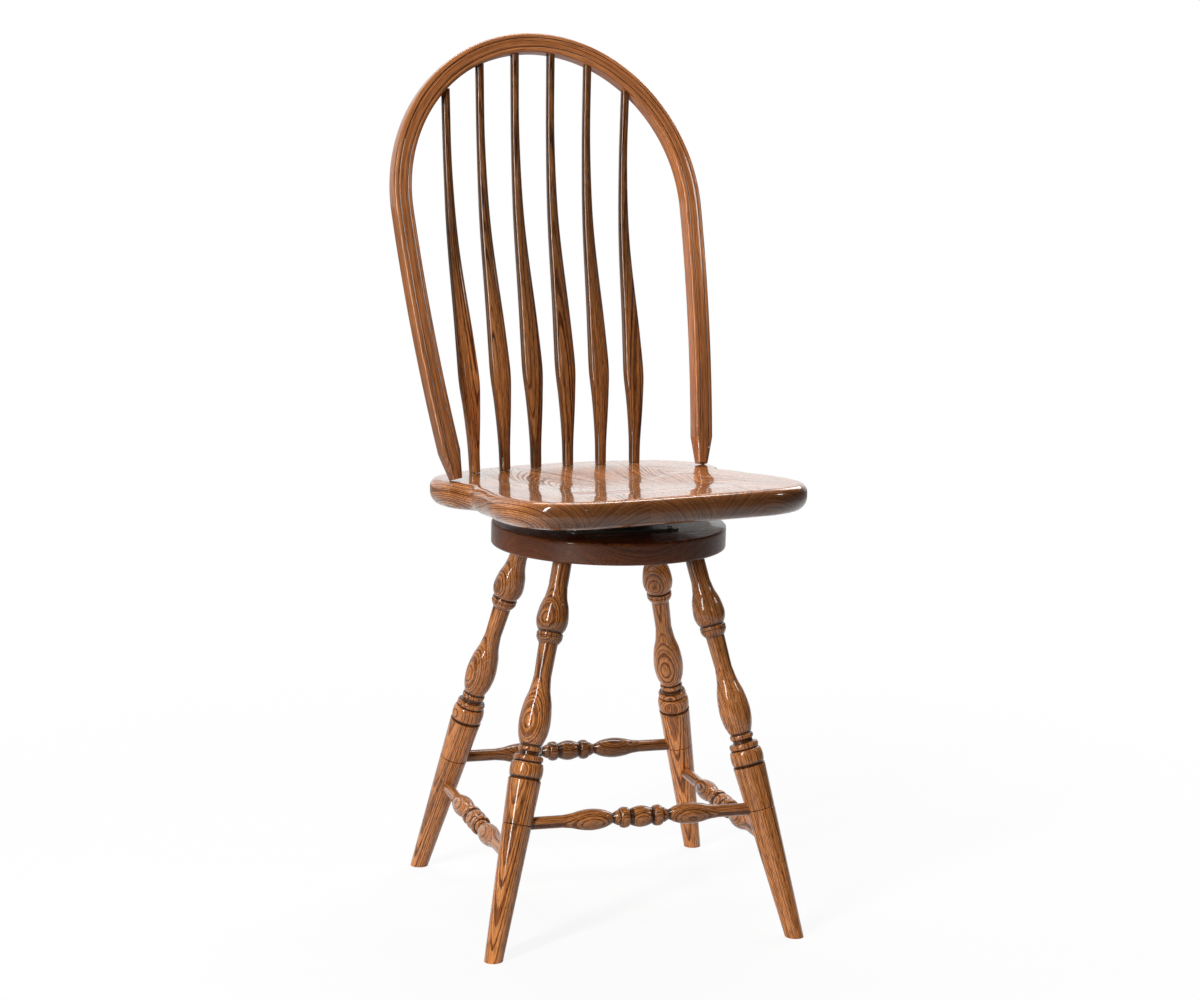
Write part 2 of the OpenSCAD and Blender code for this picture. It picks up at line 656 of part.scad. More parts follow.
function spindle_at(i, t) =
    spindle_foot(i) + (spindle_top(i) - spindle_foot(i)) * t + [0, smooth_at(bend_knots, t), 0];
function spindle_way(i, t) =
    let (d = spindle_at(i, min(1, t + 0.01)) - spindle_at(i, max(0, t - 0.01))) d / norm(d);
function squared(v, n) = sign(v) * pow(abs(v), 2 / n);
function spindle_ring(i, t) =
    let (way = spindle_way(i, t), across = cross([0, 1, 0], way) / norm(cross([0, 1, 0], way)),
         back = cross(way, across), w = smooth_at(width_knots, t) / 2, d = smooth_at(depth_knots, t) / 2,
         n = 2 + 1.2 * (w - d) / (paddle_w - paddle_t) * 2)
    [for (a = [0:spindle_sides - 1])
     let (angle = 360 * (a + 0.5) / spindle_sides)
     spindle_at(i, t) + across * w * squared(cos(angle), n) + back * d * squared(sin(angle), n)];

// Cylinder along a direction, from a point, reaching back a little way as well
module peg(start, way, d, back, ahead) {
    translate(start) rotate([0, acos(way[2]), atan2(way[1], way[0])])
        translate([0, 0, -back]) cylinder(d = d, h = back + ahead);
}
module spindle_foot_tenon(i, gap, extra) {
    peg(spindle_at(i, 0), -spindle_way(i, 0), spindle_foot_d - 0.3 + 2 * gap, 3, spindle_tenon_l + extra);
}
module spindle_top_tenon(i, gap, extra) {
    peg(spindle_at(i, 1), spindle_way(i, 1), spindle_top_d - 0.1 + 2 * gap, spindle_stop + 3,
        spindle_top_tenon_l + extra);
}
module spindle(i) {
    last = 1 - spindle_stop / norm(spindle_top(i) - spindle_foot(i));
    rings = [for (k = [0:spindle_rings]) spindle_ring(i, last * k / spindle_rings)];
    color(oak) in_seat() {
        skin(rings, spindle_at(i, 0), spindle_at(i, last));
        spindle_foot_tenon(i, 0, 0);
        spindle_top_tenon(i, 0, 0);
    }
}

leg(-1, -1);  // leg_front_left
leg(1, -1);  // leg_front_right
leg(-1, 1);  // leg_back_left
leg(1, 1);  // leg_back_right
stretcher(0, front_rail_z);  // stretcher_front
stretcher(180, front_rail_z);  // stretcher_back
stretcher(-90, side_rail_z);  // stretcher_left
stretcher(90, side_rail_z);  // stretcher_right
base_disk();
base_screws();
swivel_lower_plate();
swivel_rivet();
bearing_balls();
bearing_cage();
swivel_upper_plate();
seat_screws();
seat();
bow_hoop();
spindle(1);  // spindle_1
spindle(2);  // spindle_2
spindle(3);  // spindle_3
spindle(4);  // spindle_4
spindle(5);  // spindle_5
spindle(6);  // spindle_6
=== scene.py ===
import math
import bpy
import bmesh
import numpy as np
from mathutils import Euler, Matrix, Vector


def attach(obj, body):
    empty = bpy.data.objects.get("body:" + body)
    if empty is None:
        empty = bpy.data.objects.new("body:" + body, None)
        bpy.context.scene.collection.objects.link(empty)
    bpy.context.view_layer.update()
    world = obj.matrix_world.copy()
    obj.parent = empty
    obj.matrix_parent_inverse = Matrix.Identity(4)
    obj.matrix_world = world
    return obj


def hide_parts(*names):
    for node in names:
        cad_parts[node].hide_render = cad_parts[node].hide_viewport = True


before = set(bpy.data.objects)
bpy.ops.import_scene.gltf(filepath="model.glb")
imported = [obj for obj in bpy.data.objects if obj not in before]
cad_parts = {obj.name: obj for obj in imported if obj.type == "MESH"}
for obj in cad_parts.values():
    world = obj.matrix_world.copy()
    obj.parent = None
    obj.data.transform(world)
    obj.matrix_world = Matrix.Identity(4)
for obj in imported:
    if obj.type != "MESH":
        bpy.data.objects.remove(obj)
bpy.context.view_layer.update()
print("frame loaded:", len(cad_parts), "nodes")

# Every piece is laid out in millimetres and written to its mesh in metres.
mm = 0.001
noLimit = 99        # a reach in millimetres that no section of the stock has

stool = {
    "axisY": -2.3,           # swivel axis, forward of the middle of the whole depth
    "baseTurn": -12,         # degrees that the legs stand turned under the seat
    "diskUnderside": 522,
    "diskThickness": 30.5,
    "swivelHeight": 23.5,
    "seatThickness": 38,
    "seatTilt": 2.8,
    "footAt": 216,           # half the distance between neighbouring feet
    "legTopAt": 94,          # and between neighbouring leg tops
    "bowFootY": 81,
    "bowLean": 13.8,
}


def turned(x, y, z):
    return Euler((math.radians(x), math.radians(y), math.radians(z))).to_matrix().to_4x4()


def shifted(x, y, z):
    return Matrix.Translation((x, y, z))


def towards(azimuth, elevation):
    a, e = math.radians(azimuth), math.radians(elevation)
    return Vector((math.sin(a) * math.cos(e), -math.cos(a) * math.cos(e), math.sin(e)))


diskTop = stool["diskUnderside"] + stool["diskThickness"]
seatRise = stool["swivelHeight"] + stool["seatThickness"] / math.cos(math.radians(stool["seatTilt"]))
baseFrame = shifted(0, stool["axisY"], 0) @ turned(0, 0, stool["baseTurn"])
diskFrame = baseFrame @ shifted(0, 0, diskTop)
seatFrame = shifted(0, stool["axisY"], diskTop + seatRise) @ turned(-stool["seatTilt"], 0, 0)
bowFrame = seatFrame @ shifted(0, stool["bowFootY"], 0) @ turned(-stool["bowLean"], 0, 0)


# Finishes and node trees

def dye(red, green, blue):
    # a colour as a paint program shows it, made linear
    return tuple((c / 12.92 if c <= 0.04045 else ((c + 0.055) / 1.055) ** 2.4)
                 for c in (red / 255, green / 255, blue / 255))


def addNode(tree, kind, settings, sockets):
    # settings come first, because a node's sockets follow from them
    node = tree.nodes.new(kind)
    for key, value in settings.items():
        if key == "stops":
            ramp = node.color_ramp
            while len(ramp.elements) < len(value):
                ramp.elements.new(0.5)
            for element, (place, colour) in zip(ramp.elements, value):
                element.position = place
                element.color = tuple(colour) + (1,)
        elif key == "interpolation":
            node.color_ramp.interpolation = value
        else:
            setattr(node, key, value)
    named = {s.identifier: s for s in node.inputs}
    for key, value in sockets.items():
        feed(tree, named.get(key) or node.inputs[key], value)
    return node


def feed(tree, socket, value):
    if isinstance(value, Wire):
        tree.links.new(value.socket, socket)
    elif socket.type in ("VECTOR", "RGBA"):
        parts = tuple(value) if isinstance(value, (tuple, list)) else (value,) * 3
        socket.default_value = parts + (1,) * (len(socket.default_value) - len(parts))
    else:
        socket.default_value = value


def sumNode(tree, operation, *values):
    # single numbers go through a Math node, colours and places through Vector Math
    wide = any(isinstance(v, tuple) or (isinstance(v, Wire) and v.wide) for v in values)
    kind = "ShaderNodeVectorMath" if wide else "ShaderNodeMath"
    return addNode(tree, kind, {"operation": operation}, dict(enumerate(values)))


class Wire:
    # one socket of a node tree, with the sums that are needed here
    def __init__(self, tree, socket):
        self.tree = tree
        self.socket = socket
        self.wide = socket.type in ("VECTOR", "RGBA")

    def of(self, operation, *others):
        return Wire(self.tree, sumNode(self.tree, operation, self, *others).outputs[0])

    def number(self, operation, *others):
        # for the sums of places that give one number, such as a length
        return Wire(self.tree, sumNode(self.tree, operation, self, *others).outputs["Value"])

    def __add__(self, other):
        return self.of("ADD", other)

    __radd__ = __add__

    def __sub__(self, other):
        return self.of("SUBTRACT", other)

    def __rsub__(self, other):
        return Wire(self.tree, sumNode(self.tree, "SUBTRACT", other, self).outputs[0])

    def __mul__(self, other):
        return self.of("MULTIPLY", other)

    __rmul__ = __mul__

    def __truediv__(self, other):
        return self.of("DIVIDE", other)

    def part(self, name):
        # one of the three numbers of a place or a colour
        node = addNode(self.tree, "ShaderNodeSeparateXYZ", {}, {"Vector": self})
        return Wire(self.tree, node.outputs[name])


class Nodes:
    # a node tree under construction
    def __init__(self, tree):
        self.tree = tree
        tree.nodes.clear()

    def add(self, kind, settings, sockets, output=0):
        node = addNode(self.tree, kind, settings, sockets)
        named = {s.identifier: s for s in node.outputs}
        return Wire(self.tree, named.get(output) or node.outputs[output])

    def ease(self, value, low, high, start=0.0, end=1.0):
        # goes smoothly from start to end while value goes from low to high
        return self.add("ShaderNodeMapRange", {"interpolation_type": "SMOOTHSTEP"}, {
            "Value": value, "From Min": low, "From Max": high, "To Min": start, "To Max": end})

    def coords(self, kind):
        return self.add("ShaderNodeTexCoord", {}, {}, kind)

    def ray(self, kind):
        return self.add("ShaderNodeLightPath", {}, {}, "Is %s Ray" % kind)

    def end(self, kind, result):
        # leads the result to the node that ends the tree
        addNode(self.tree, kind, {}, {0: result})


class Finish(Nodes):
    # a material, with the nodes that it uses most
    def __init__(self, name):
        self.material = bpy.data.materials.new(name)
        self.material.use_nodes = True
        super().__init__(self.material.node_tree)

    def noise(self, place, scale, detail, output=0):
        return self.add("ShaderNodeTexNoise", {}, {
            "Vector": place, "Scale": scale, "Detail": detail, "Roughness": 0.5}, output)

    def blend(self, amount, first, second):
        return self.add("ShaderNodeMix", {"data_type": "RGBA"}, {
            "Factor_Float": amount, "A_Color": first, "B_Color": second}, "Result_Color")

    def attribute(self, name, output="Vector"):
        return self.add("ShaderNodeAttribute", {"attribute_name": name}, {}, output)

    def place(self, pose=None):
        # Object coordinates in a piece's own frame, in millimetres
        here = self.coords("Object") * (1 / mm)
        if pose is None:
            return here
        return self.add("ShaderNodeMapping", {"vector_type": "TEXTURE"}, {
            "Vector": here, "Location": tuple(pose.to_translation()), "Rotation": tuple(pose.to_euler())})

    def done(self, surface):
        self.end("ShaderNodeOutputMaterial", surface)
        return self.material


class Shaping(Nodes):
    # a tree that makes a shape from a blank, with the named inputs that each piece sets
    def __init__(self, name, kinds):
        tree = bpy.data.node_groups.new(name, "GeometryNodeTree")
        super().__init__(tree)
        self.inputs = {}
        for label, kind in {"Geometry": "Geometry", **kinds}.items():
            socket = tree.interface.new_socket(label, in_out="INPUT", socket_type="NodeSocket" + kind)
            self.inputs[label] = socket.identifier
        tree.interface.new_socket("Geometry", in_out="OUTPUT", socket_type="NodeSocketGeometry")

    def given(self, label):
        # one of the tree's own inputs
        return self.add("NodeGroupInput", {}, {}, label)

    def carried(self, label, kind="FLOAT"):
        # what the points of a blank carry under this name
        return self.add("GeometryNodeInputNamedAttribute", {"data_type": kind}, {
            "Name": label}, "Attribute")

    def done(self, shape):
        real = self.add("GeometryNodeRealizeInstances", {}, {"Geometry": shape})
        painted = self.add("GeometryNodeSetMaterial", {}, {
            "Geometry": real, "Material": self.given("Finish")})
        self.end("NodeGroupOutput", painted)
        return self.tree, self.inputs


oak = {
    "late": dye(220, 142, 80),      # dense wood between the pore rows
    "early": dye(122, 62, 24),      # porous wood at the start of a ring
    "pore": dye(46, 16, 2),         # stain that fills the open pores
    "recess": dye(40, 20, 10),      # stain caught in the turned grooves, together with painted shade in them
    "ringStep": 2.0,
    "ringSwell": 1.4,               # how many rings a slow change of width adds or takes
    "swellOver": 13,                # and over what length
    "yearLow": 0.65,                # how dark the faintest ring is, as a share of the darkest
    "wander": 4.0,                  # how far a ring strays from a circle
    "wanderOver": (60, 260),        # and over what length, across and along the grain
    "fibre": (1.3, 45),             # width and length of the fine streaks
    "cloud": (28, 150),             # and of the paler and darker patches
    "poreWide": 1.0,
    "poreLong": 14,
    "poreFrom": 0.5,                # a lower start gives more open pores
    "poreDepth": 0.00007,           # in metres
    "gloss": 0.2,                   # roughness of the wood under its film
    "shine": 0.12,                  # and its specular level
    "film": 0.7,                    # weight and roughness of the varnish
    "filmRough": 0.06,
}


def woodColour(make, spot, pith, look, lean=0.0):
    # spot runs along the grain on Z. pith is the middle of the rings across it, and drifts by lean for
    # each millimetre along it.
    def patches(wide, long, detail=1.0, shift=0.0, output=0):
        return make.noise(spot * (1 / wide, 1 / wide, 1 / long) + shift, 1.0, detail, output)

    slow = patches(*look["wanderOver"], 2.0, (pith[0], pith[1], 0), "Color")
    strayed = spot + (slow - 0.5) * look["wander"]
    across = strayed.part("X") - pith[0]
    deep = strayed.part("Y") - pith[1] + strayed.part("Z") * lean
    reach = (across * across + deep * deep).of("SQRT")
    swell = make.add("ShaderNodeTexNoise", {"noise_dimensions": "1D"}, {
        "W": reach * (1 / look["swellOver"]), "Detail": 1.0})
    count = reach * (1 / look["ringStep"]) + swell * look["ringSwell"]
    year = make.add("ShaderNodeTexWhiteNoise", {"noise_dimensions": "1D"}, {"W": count.of("FLOOR")})
    # early wood starts sharply with each ring and thins out towards its middle
    ring = count.of("FRACT")
    early = make.ease(ring, 0.0, 0.1) * make.ease(ring, 0.26, 0.52, 1.0, 0.0)
    row = patches(look["poreWide"], look["poreLong"])
    start = look["poreFrom"]
    pores = make.ease(row, start, start + 0.08) * make.ease(early, 0.0, 0.7, 0.45, 0.85)
    fibre = patches(*look["fibre"])
    cloud = patches(*look["cloud"], 2.0, 7.0)
    dark = early * make.ease(year, 0.0, 1.0, look["yearLow"], 1.0)
    colour = make.blend(dark, look["late"], look["early"])
    colour = make.blend(pores * 0.85, colour, look["pore"])
    colour = colour * make.ease(fibre, 0.3, 0.7, 0.8, 1.2) * make.ease(cloud, 0.3, 0.7, 0.88, 1.12)
    return colour, pores, early


def varnished(make, look, colour, pores, early, film):
    # open pores lie lowest, then the early wood
    height = 1.0 - pores * 0.8 - early * 0.2
    bump = make.add("ShaderNodeBump", {}, {"Distance": look["poreDepth"], "Height": height})
    surface = make.add("ShaderNodeBsdfPrincipled", {}, {
        "Base Color": colour, "Roughness": look["gloss"] + pores * 0.15, "Normal": bump,
        "Specular IOR Level": look["shine"], "Coat Weight": film, "Coat Roughness": look["filmRough"]})
    return make.done(surface)


def oakFinish(name, pose, pith, look=oak, lean=0.0, lightAndShade=(), sideLightAndShade=None, groove=True):
    # The grain runs along Z of the pose. A bent piece has no pose, because its mesh carries the grain.
    # Each entry of lightAndShade makes the wood brighter or darker along a frame's Z, mostly as painted
    # light and
    # shade: the frame whose Z counts, or None for the grain's own, two places along it and the share of
    # brightness at each.
    make = Finish(name)
    spot = make.place(pose) if pose else make.attribute("grain")
    colour, pores, early = woodColour(make, spot, pith, look, lean)
    for toneFrame, low, high, start, end in lightAndShade:
        height = (make.place(toneFrame) if toneFrame else spot).part("Z")
        colour = colour * make.ease(height, low, high, start, end)
    if sideLightAndShade:
        # painted shade: faces turned to left and right come out darker
        side = make.coords("Normal").part("X").of("ABSOLUTE")
        colour = colour * make.ease(side, 0.5, 0.9, 1.0, sideLightAndShade)
    if groove:
        # the grooves darken: stain caught in them together with painted shade
        sunk = make.attribute("recess", "Fac")
        colour = make.blend(make.ease(sunk, 0.05, 0.9, 0.0, 0.88), colour, look["recess"])
    return varnished(make, look, colour, pores, early, look["film"])


def plainFinish(name, colour, rough, metal=0.0, grain=0.0, coat=0.0):
    make = Finish(name)
    spot = make.place()
    mottle = make.noise(spot, 0.35, 3.0)
    speck = make.noise(spot, 3.0, 2.0)
    shade = make.blend(mottle, tuple(c * 0.85 for c in colour), tuple(min(1, c * 1.12) for c in colour))
    bump = make.add("ShaderNodeBump", {}, {"Distance": grain, "Height": speck})
    surface = make.add("ShaderNodeBsdfPrincipled", {}, {
        "Base Color": shade, "Roughness": rough + (mottle - 0.5) * 0.15, "Metallic": metal,
        "Coat Weight": coat, "Normal": bump})
    return make.done(surface)


# Meshes

def newObject(name, data):
    made = bpy.data.objects.new(name, data)
    bpy.context.scene.collection.objects.link(made)
    return made


def settle(name, mesh, material, sharp):
    # closed mesh with its faces outwards, smooth apart from edges over this angle
    work = bmesh.new()
    work.from_mesh(mesh)
    bmesh.ops.recalc_face_normals(work, faces=work.faces)
    work.to_mesh(mesh)
    work.free()
    mesh.polygons.foreach_set("use_smooth", [True] * len(mesh.polygons))
    mesh.set_sharp_from_angle(angle=math.radians(sharp))
    mesh.materials.clear()
    mesh.materials.append(material)
    return newObject(name, mesh)


def skin(rings, low, high):
    # points and faces of a closed skin over rings of equal length, with a middle point at each end
    count = len(rings[0])
    points = [p for ring in rings for p in ring] + [low, high]
    faces = []
    for k in range(len(rings) - 1):
        for i in range(count):
            j = (i + 1) % count
            faces.append((k * count + i, k * count + j, (k + 1) * count + j, (k + 1) * count + i))
    for start, tip in ((0, len(points) - 2), ((len(rings) - 1) * count, len(points) - 1)):
        faces += [(start + i, start + (i + 1) % count, tip) for i in range(count)]
    return points, faces


def moved(pose, points):
    m = np.array(pose)
    return np.asarray(points, float) @ m[:3, :3].T + m[:3, 3]


def hand(piece, body, slot, *nodes):
    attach(piece, body)
    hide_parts(*nodes)


def smoothAt(knots, t):
    # smooth curve through knots of (place, value), the same one as the solids use
    i = 0
    while i < len(knots) - 2 and t >= knots[i + 1][0]:
        i += 1

    def slope(k):
        a, b = max(k - 1, 0), min(k + 1, len(knots) - 1)
        return (knots[b][1] - knots[a][1]) / (knots[b][0] - knots[a][0])

    h = knots[i + 1][0] - knots[i][0]
    u = (t - knots[i][0]) / h
    return ((1 + 2 * u) * (1 - u) ** 2 * knots[i][1] + u * (1 - u) ** 2 * h * slope(i)
            + u * u * (3 - 2 * u) * knots[i + 1][1] + u * u * (u - 1) * h * slope(i + 1))


# Turned pieces: a profile of (radius, height) goes round its axis in Geometry Nodes.

def bead(z, h, r, peak, n=18):
    return [(r + (peak - r) * math.sin(math.pi * i / n), z + h * (1 - math.cos(math.pi * i / n)) / 2)
            for i in range(n + 1)]


def vase(z, h, widest, r0, r1, r2, n=44):
    knots = [(0, r0), (0.4 * widest, r0 + 0.68 * (r1 - r0)), (widest, r1),
             (widest + 0.4 * (1 - widest), r1 - 0.27 * (r1 - r2)),
             (widest + 0.68 * (1 - widest), r2 + 0.27 * (r1 - r2)), (1, r2)]
    return [(smoothAt(knots, i / n), z + h * i / n) for i in range(n + 1)]


def incised(z, r, wide=1.8, deep=1.2):
    return [(r, z - wide / 2), (r - deep, z), (r, z + wide / 2)]


def recessOf(profile, full, reach):
    # how far each point lies below a bridge of this reach over the profile, as a share of the full depth
    r = np.array([p[0] for p in profile])
    z = np.array([p[1] for p in profile])
    near = np.abs(z[:, None] - z[None, :]) <= reach
    over = np.array([r[row].max() for row in near])
    bridge = np.array([over[row].min() for row in near])
    return np.clip((bridge - r) / full, 0, 1)


def latheTree(name, repeated):
    kinds = {"Sides": "Int", "Place": "Vector", "Turn": "Vector", "Finish": "Material"}
    if repeated:
        kinds.update({"Count": "Int", "Ring": "Float"})
    make = Shaping(name, kinds)
    spine = make.add("GeometryNodeMeshToCurve", {}, {"Mesh": make.given("Geometry")})
    circle = make.add("GeometryNodeCurvePrimitiveCircle", {}, {
        "Resolution": make.given("Sides"), "Radius": 1.0})
    piece = make.add("GeometryNodeCurveToMesh", {}, {
        "Curve": spine, "Profile Curve": circle, "Scale": make.carried("radius"), "Fill Caps": True})
    if repeated:
        # the turned piece stands on every point of a ring
        ring = make.add("GeometryNodeMeshCircle", {}, {
            "Vertices": make.given("Count"), "Radius": make.given("Ring")})
        piece = make.add("GeometryNodeInstanceOnPoints", {}, {"Points": ring, "Instance": piece})
    piece = make.add("GeometryNodeTransform", {}, {
        "Geometry": piece, "Translation": make.given("Place"), "Rotation": make.given("Turn")})
    return make.done(piece)


lathe = latheTree("turning", False)
ringLathe = latheTree("ring_of_turnings", True)


def wireBlank(name, points, marks, closed=False):
    # a bare line of points, in metres, with what each point carries
    mesh = bpy.data.meshes.new(name)
    count = len(points)
    mesh.from_pydata([tuple(p) for p in points],
                     [(i, (i + 1) % count) for i in range(count if closed else count - 1)], [])
    for mark, values in marks.items():
        values = np.asarray(values, float)
        wide = values.ndim == 2
        layer = mesh.attributes.new(mark, "FLOAT_VECTOR" if wide else "FLOAT", "POINT")
        layer.data.foreach_set("vector" if wide else "value", values.ravel())
    return newObject(name, mesh)


def plain(blank, made, values):
    # runs a node tree on a blank and returns its result as a plain mesh
    tree, inputs = made
    tool = blank.modifiers.new("tool", "NODES")
    tool.node_group = tree
    for label, value in values.items():
        tool[inputs[label]] = value
    seen = blank.evaluated_get(bpy.context.evaluated_depsgraph_get())
    mesh = bpy.data.meshes.new_from_object(seen)
    blank.modifiers.remove(tool)
    bpy.data.objects.remove(blank)
    return mesh


def spacedOut(profile, step=2.0):
    # the same outline with points no further apart than a step, each above the one before
    spaced = [profile[0]]
    for r, z in profile[1:]:
        lastR, lastZ = spaced[-1]
        z = max(z, lastZ + 0.03)
        parts = max(1, math.ceil(math.hypot(r - lastR, z - lastZ) / step))
        spaced += [(lastR + (r - lastR) * i / parts, lastZ + (z - lastZ) * i / parts)
                   for i in range(1, parts + 1)]
    return spaced


def turnedMesh(name, profile, pose, sides, material, full=1.2, reach=2.4, ring=None):
    # one turned piece, or with ring, a count and a radius, as many of them standing on a circle
    spaced = spacedOut(profile)
    blank = wireBlank(name, [(0, 0, z * mm) for r, z in spaced],
                      {"radius": [r * mm for r, z in spaced], "recess": recessOf(spaced, full, reach)})
    values = {"Sides": sides, "Place": tuple(v * mm for v in pose.to_translation()),
              "Turn": tuple(pose.to_euler()), "Finish": material}
    if ring:
        values.update({"Count": ring[0], "Ring": ring[1] * mm})
    return plain(blank, ringLathe if ring else lathe, values)


def cutLevel(mesh, z, keepAbove):
    # trims a closed mesh at a height and closes the cut
    work = bmesh.new()
    work.from_mesh(mesh)
    cut = bmesh.ops.bisect_plane(work, geom=work.verts[:] + work.edges[:] + work.faces[:],
                                 plane_co=(0, 0, z * mm), plane_no=(0, 0, 1),
                                 clear_inner=keepAbove, clear_outer=not keepAbove)
    rim = [e for e in cut["geom_cut"] if isinstance(e, bmesh.types.BMEdge)]
    bmesh.ops.edgeloop_fill(work, edges=rim)
    work.to_mesh(mesh)
    work.free()


leg = {
    "footD": 25.2, "shaftD": 45.2, "barrelD": 46, "barrelH": 23.5, "collarD": 41, "collarH": 9.5,
    "waistD": 28, "waistH": 5, "ringD": 33, "ringH": 7.5, "gap": 2, "vaseD": 43.4, "vaseH": 93,
    "neckD": 23.8, "neckH": 45, "flareD": 36.6, "flareH": 16.5, "upperD": 44, "upperH": 62,
    "topD": 26.4, "topH": 40, "scribeZ": 175, "intoDisk": 3, "sides": 72,
    "barrelIn": 3.2, "collarIn": 2.5, "ringIn": 2.2,     # how far each falls off at its ends
    "vaseAt": 0.34, "upperAt": 0.27,                     # where up its height each vase is widest
    "past": 12,                                          # spare length that is cut off level
    # three places up the leg where its painted light and shade are given
    "stainAt": (200, 340, 430),
    # for each leg: its corner, where its growth rings show ovals (azimuth and elevation) and how far off
    # their middle lies, how far that drifts for each millimetre up, and how bright painted light and shade
    # leave it
    "each": {"front_left": ((-1, -1), (-50, 0, 46), 0.012, (1.0, 0.88, 0.58)),
             "front_right": ((1, -1), (75, 0, 60), -0.02, (1.02, 1.0, 0.73)),
             "back_left": ((-1, 1), (-84, 0, 50), 0.015, (1.0, 0.87, 0.81)),
             "back_right": ((1, 1), (-40, 0, 43.4), -0.01, (1.4, 1.32, 1.32))},
}


def legProfile():
    r = {key[:-1]: size / 2 for key, size in leg.items() if key.endswith("D")}
    tilt = math.atan(math.sqrt(2) * (stool["footAt"] - stool["legTopAt"]) / stool["diskUnderside"])
    long = stool["diskUnderside"] / math.cos(tilt)
    upperZ = long - leg["topH"] - leg["upperH"]
    flareZ = upperZ - leg["flareH"]
    vaseZ = flareZ - leg["neckH"] - leg["vaseH"]
    ringZ = vaseZ - leg["gap"] - leg["ringH"]
    waistZ = ringZ - leg["waistH"]
    collarZ = waistZ - leg["collarH"]
    barrelZ = collarZ - leg["barrelH"]

    def shaftR(s):
        return r["foot"] + (r["shaft"] - r["foot"]) * s / barrelZ

    def swelling(part, z, crease, n=18):
        return bead(z + crease, leg[part + "H"] - crease, r[part] - leg[part + "In"], r[part], n)

    scribe = leg["scribeZ"] / math.cos(tilt)
    neck, flare = r["neck"], r["flare"]
    profile = [(shaftR(-leg["past"]), -leg["past"])]
    profile += incised(scribe, shaftR(scribe)) + incised(barrelZ, r["shaft"])
    profile += swelling("barrel", barrelZ, 0.9, 24) + swelling("collar", collarZ, 0.4)
    profile += [(r["waist"], waistZ + 0.6), (r["waist"], ringZ - 0.3)]
    profile += swelling("ring", ringZ, 0) + [(r["ring"] - 1.9, vaseZ - 0.6)]
    profile += vase(vaseZ, leg["vaseH"], leg["vaseAt"], r["ring"] - 1, r["vase"], neck)
    profile += [(neck + (flare - neck) * math.sin(math.radians(75 * t + 10)),
                 flareZ + (leg["flareH"] - 6.5) * t) for t in [i / 12 for i in range(13)]]
    profile += bead(upperZ - 6.4, 5.6, flare - 1.2, flare, 12)
    profile += vase(upperZ, leg["upperH"], leg["upperAt"], flare - 1.6, r["upper"], r["top"])
    profile += [(r["top"], long + leg["past"])]
    return profile, math.degrees(tilt)


def pithOf(pose, ovals):
    # middle of the rings in a piece's own frame, on the far side of the face that shows ovals
    azimuth, elevation, distance = ovals
    face = pose.to_3x3().transposed() @ towards(azimuth, elevation)
    size = math.hypot(face.x, face.y)
    return -face.x / size * distance, -face.y / size * distance


def makeLegs():
    profile, tilt = legProfile()
    low, middle, high = leg["stainAt"]
    for name, ((side, face), ovals, lean, (atLow, atMiddle, atHigh)) in leg["each"].items():
        foot = shifted(side * stool["footAt"], face * stool["footAt"], 0)
        pose = baseFrame @ foot @ turned(0, tilt, math.degrees(math.atan2(-face, -side)))
        # painted light and shade up each leg: darker towards the top under the seat, brighter all along
        # where a leg is lit from behind
        lightAndShade = [(None, low, middle, atLow, atMiddle), (None, middle, high, 1.0, atHigh / atMiddle)]
        finish = oakFinish("oak_leg_" + name, pose, pithOf(pose, ovals), lean=lean, lightAndShade=lightAndShade)
        mesh = turnedMesh("leg", profile, pose, leg["sides"], finish, full=1.0, reach=3.0)
        cutLevel(mesh, 0, keepAbove=True)
        cutLevel(mesh, stool["diskUnderside"] + leg["intoDisk"], keepAbove=False)
        piece = settle("turned_leg_" + name, mesh, finish, sharp=32)
        hand(piece, "base", "oak", "leg_" + name)


rail = {
    "endD": 17.4, "bulgeD": 29.4, "ballD": 29.4, "ringD": 29, "grooveD": 20.6, "neckD": 13.6,
    "ballEnd": 16.5, "ringEnd": 31, "stepEnd": 34, "neckAt": 40, "bulgeEnd": 112, "pastAxis": 1,
    "sides": 56,
    # for each stretcher: where it stands round the stool, its height, its ovals as for the legs, and how
    # bright painted shade leaves it
    "each": {"front": (0, 175, (-20, -14, 40), 0.7), "back": (180, 175, (-30, 60, 50), 0.38),
             "left": (-90, 130, (-80, 30, 44), 0.85), "right": (90, 130, (-60, 20, 48), 0.85)},
}


def legAt(z):
    # half the distance between neighbouring legs at a height
    return stool["footAt"] + (stool["legTopAt"] - stool["footAt"]) * z / stool["diskUnderside"]


def railProfile(z):
    groove, ball = rail["grooveD"] / 2, rail["ballD"] / 2
    half = [(groove + (ball - groove) * math.cos(math.pi / 2 * i / 14), rail["ballEnd"] * i / 14)
            for i in range(1, 15)]
    half += bead(rail["ballEnd"], rail["ringEnd"] - rail["ballEnd"], groove, rail["ringD"] / 2)
    half += [(groove - 0.2, rail["stepEnd"])]
    half += vase(rail["neckAt"], rail["bulgeEnd"] - rail["neckAt"], 0.42, rail["neckD"] / 2,
                 rail["bulgeD"] / 2, rail["endD"] / 2)
    half += [(rail["endD"] / 2, legAt(z) + rail["pastAxis"])]
    return [(r, -s) for r, s in reversed(half)] + [(ball, 0)] + half


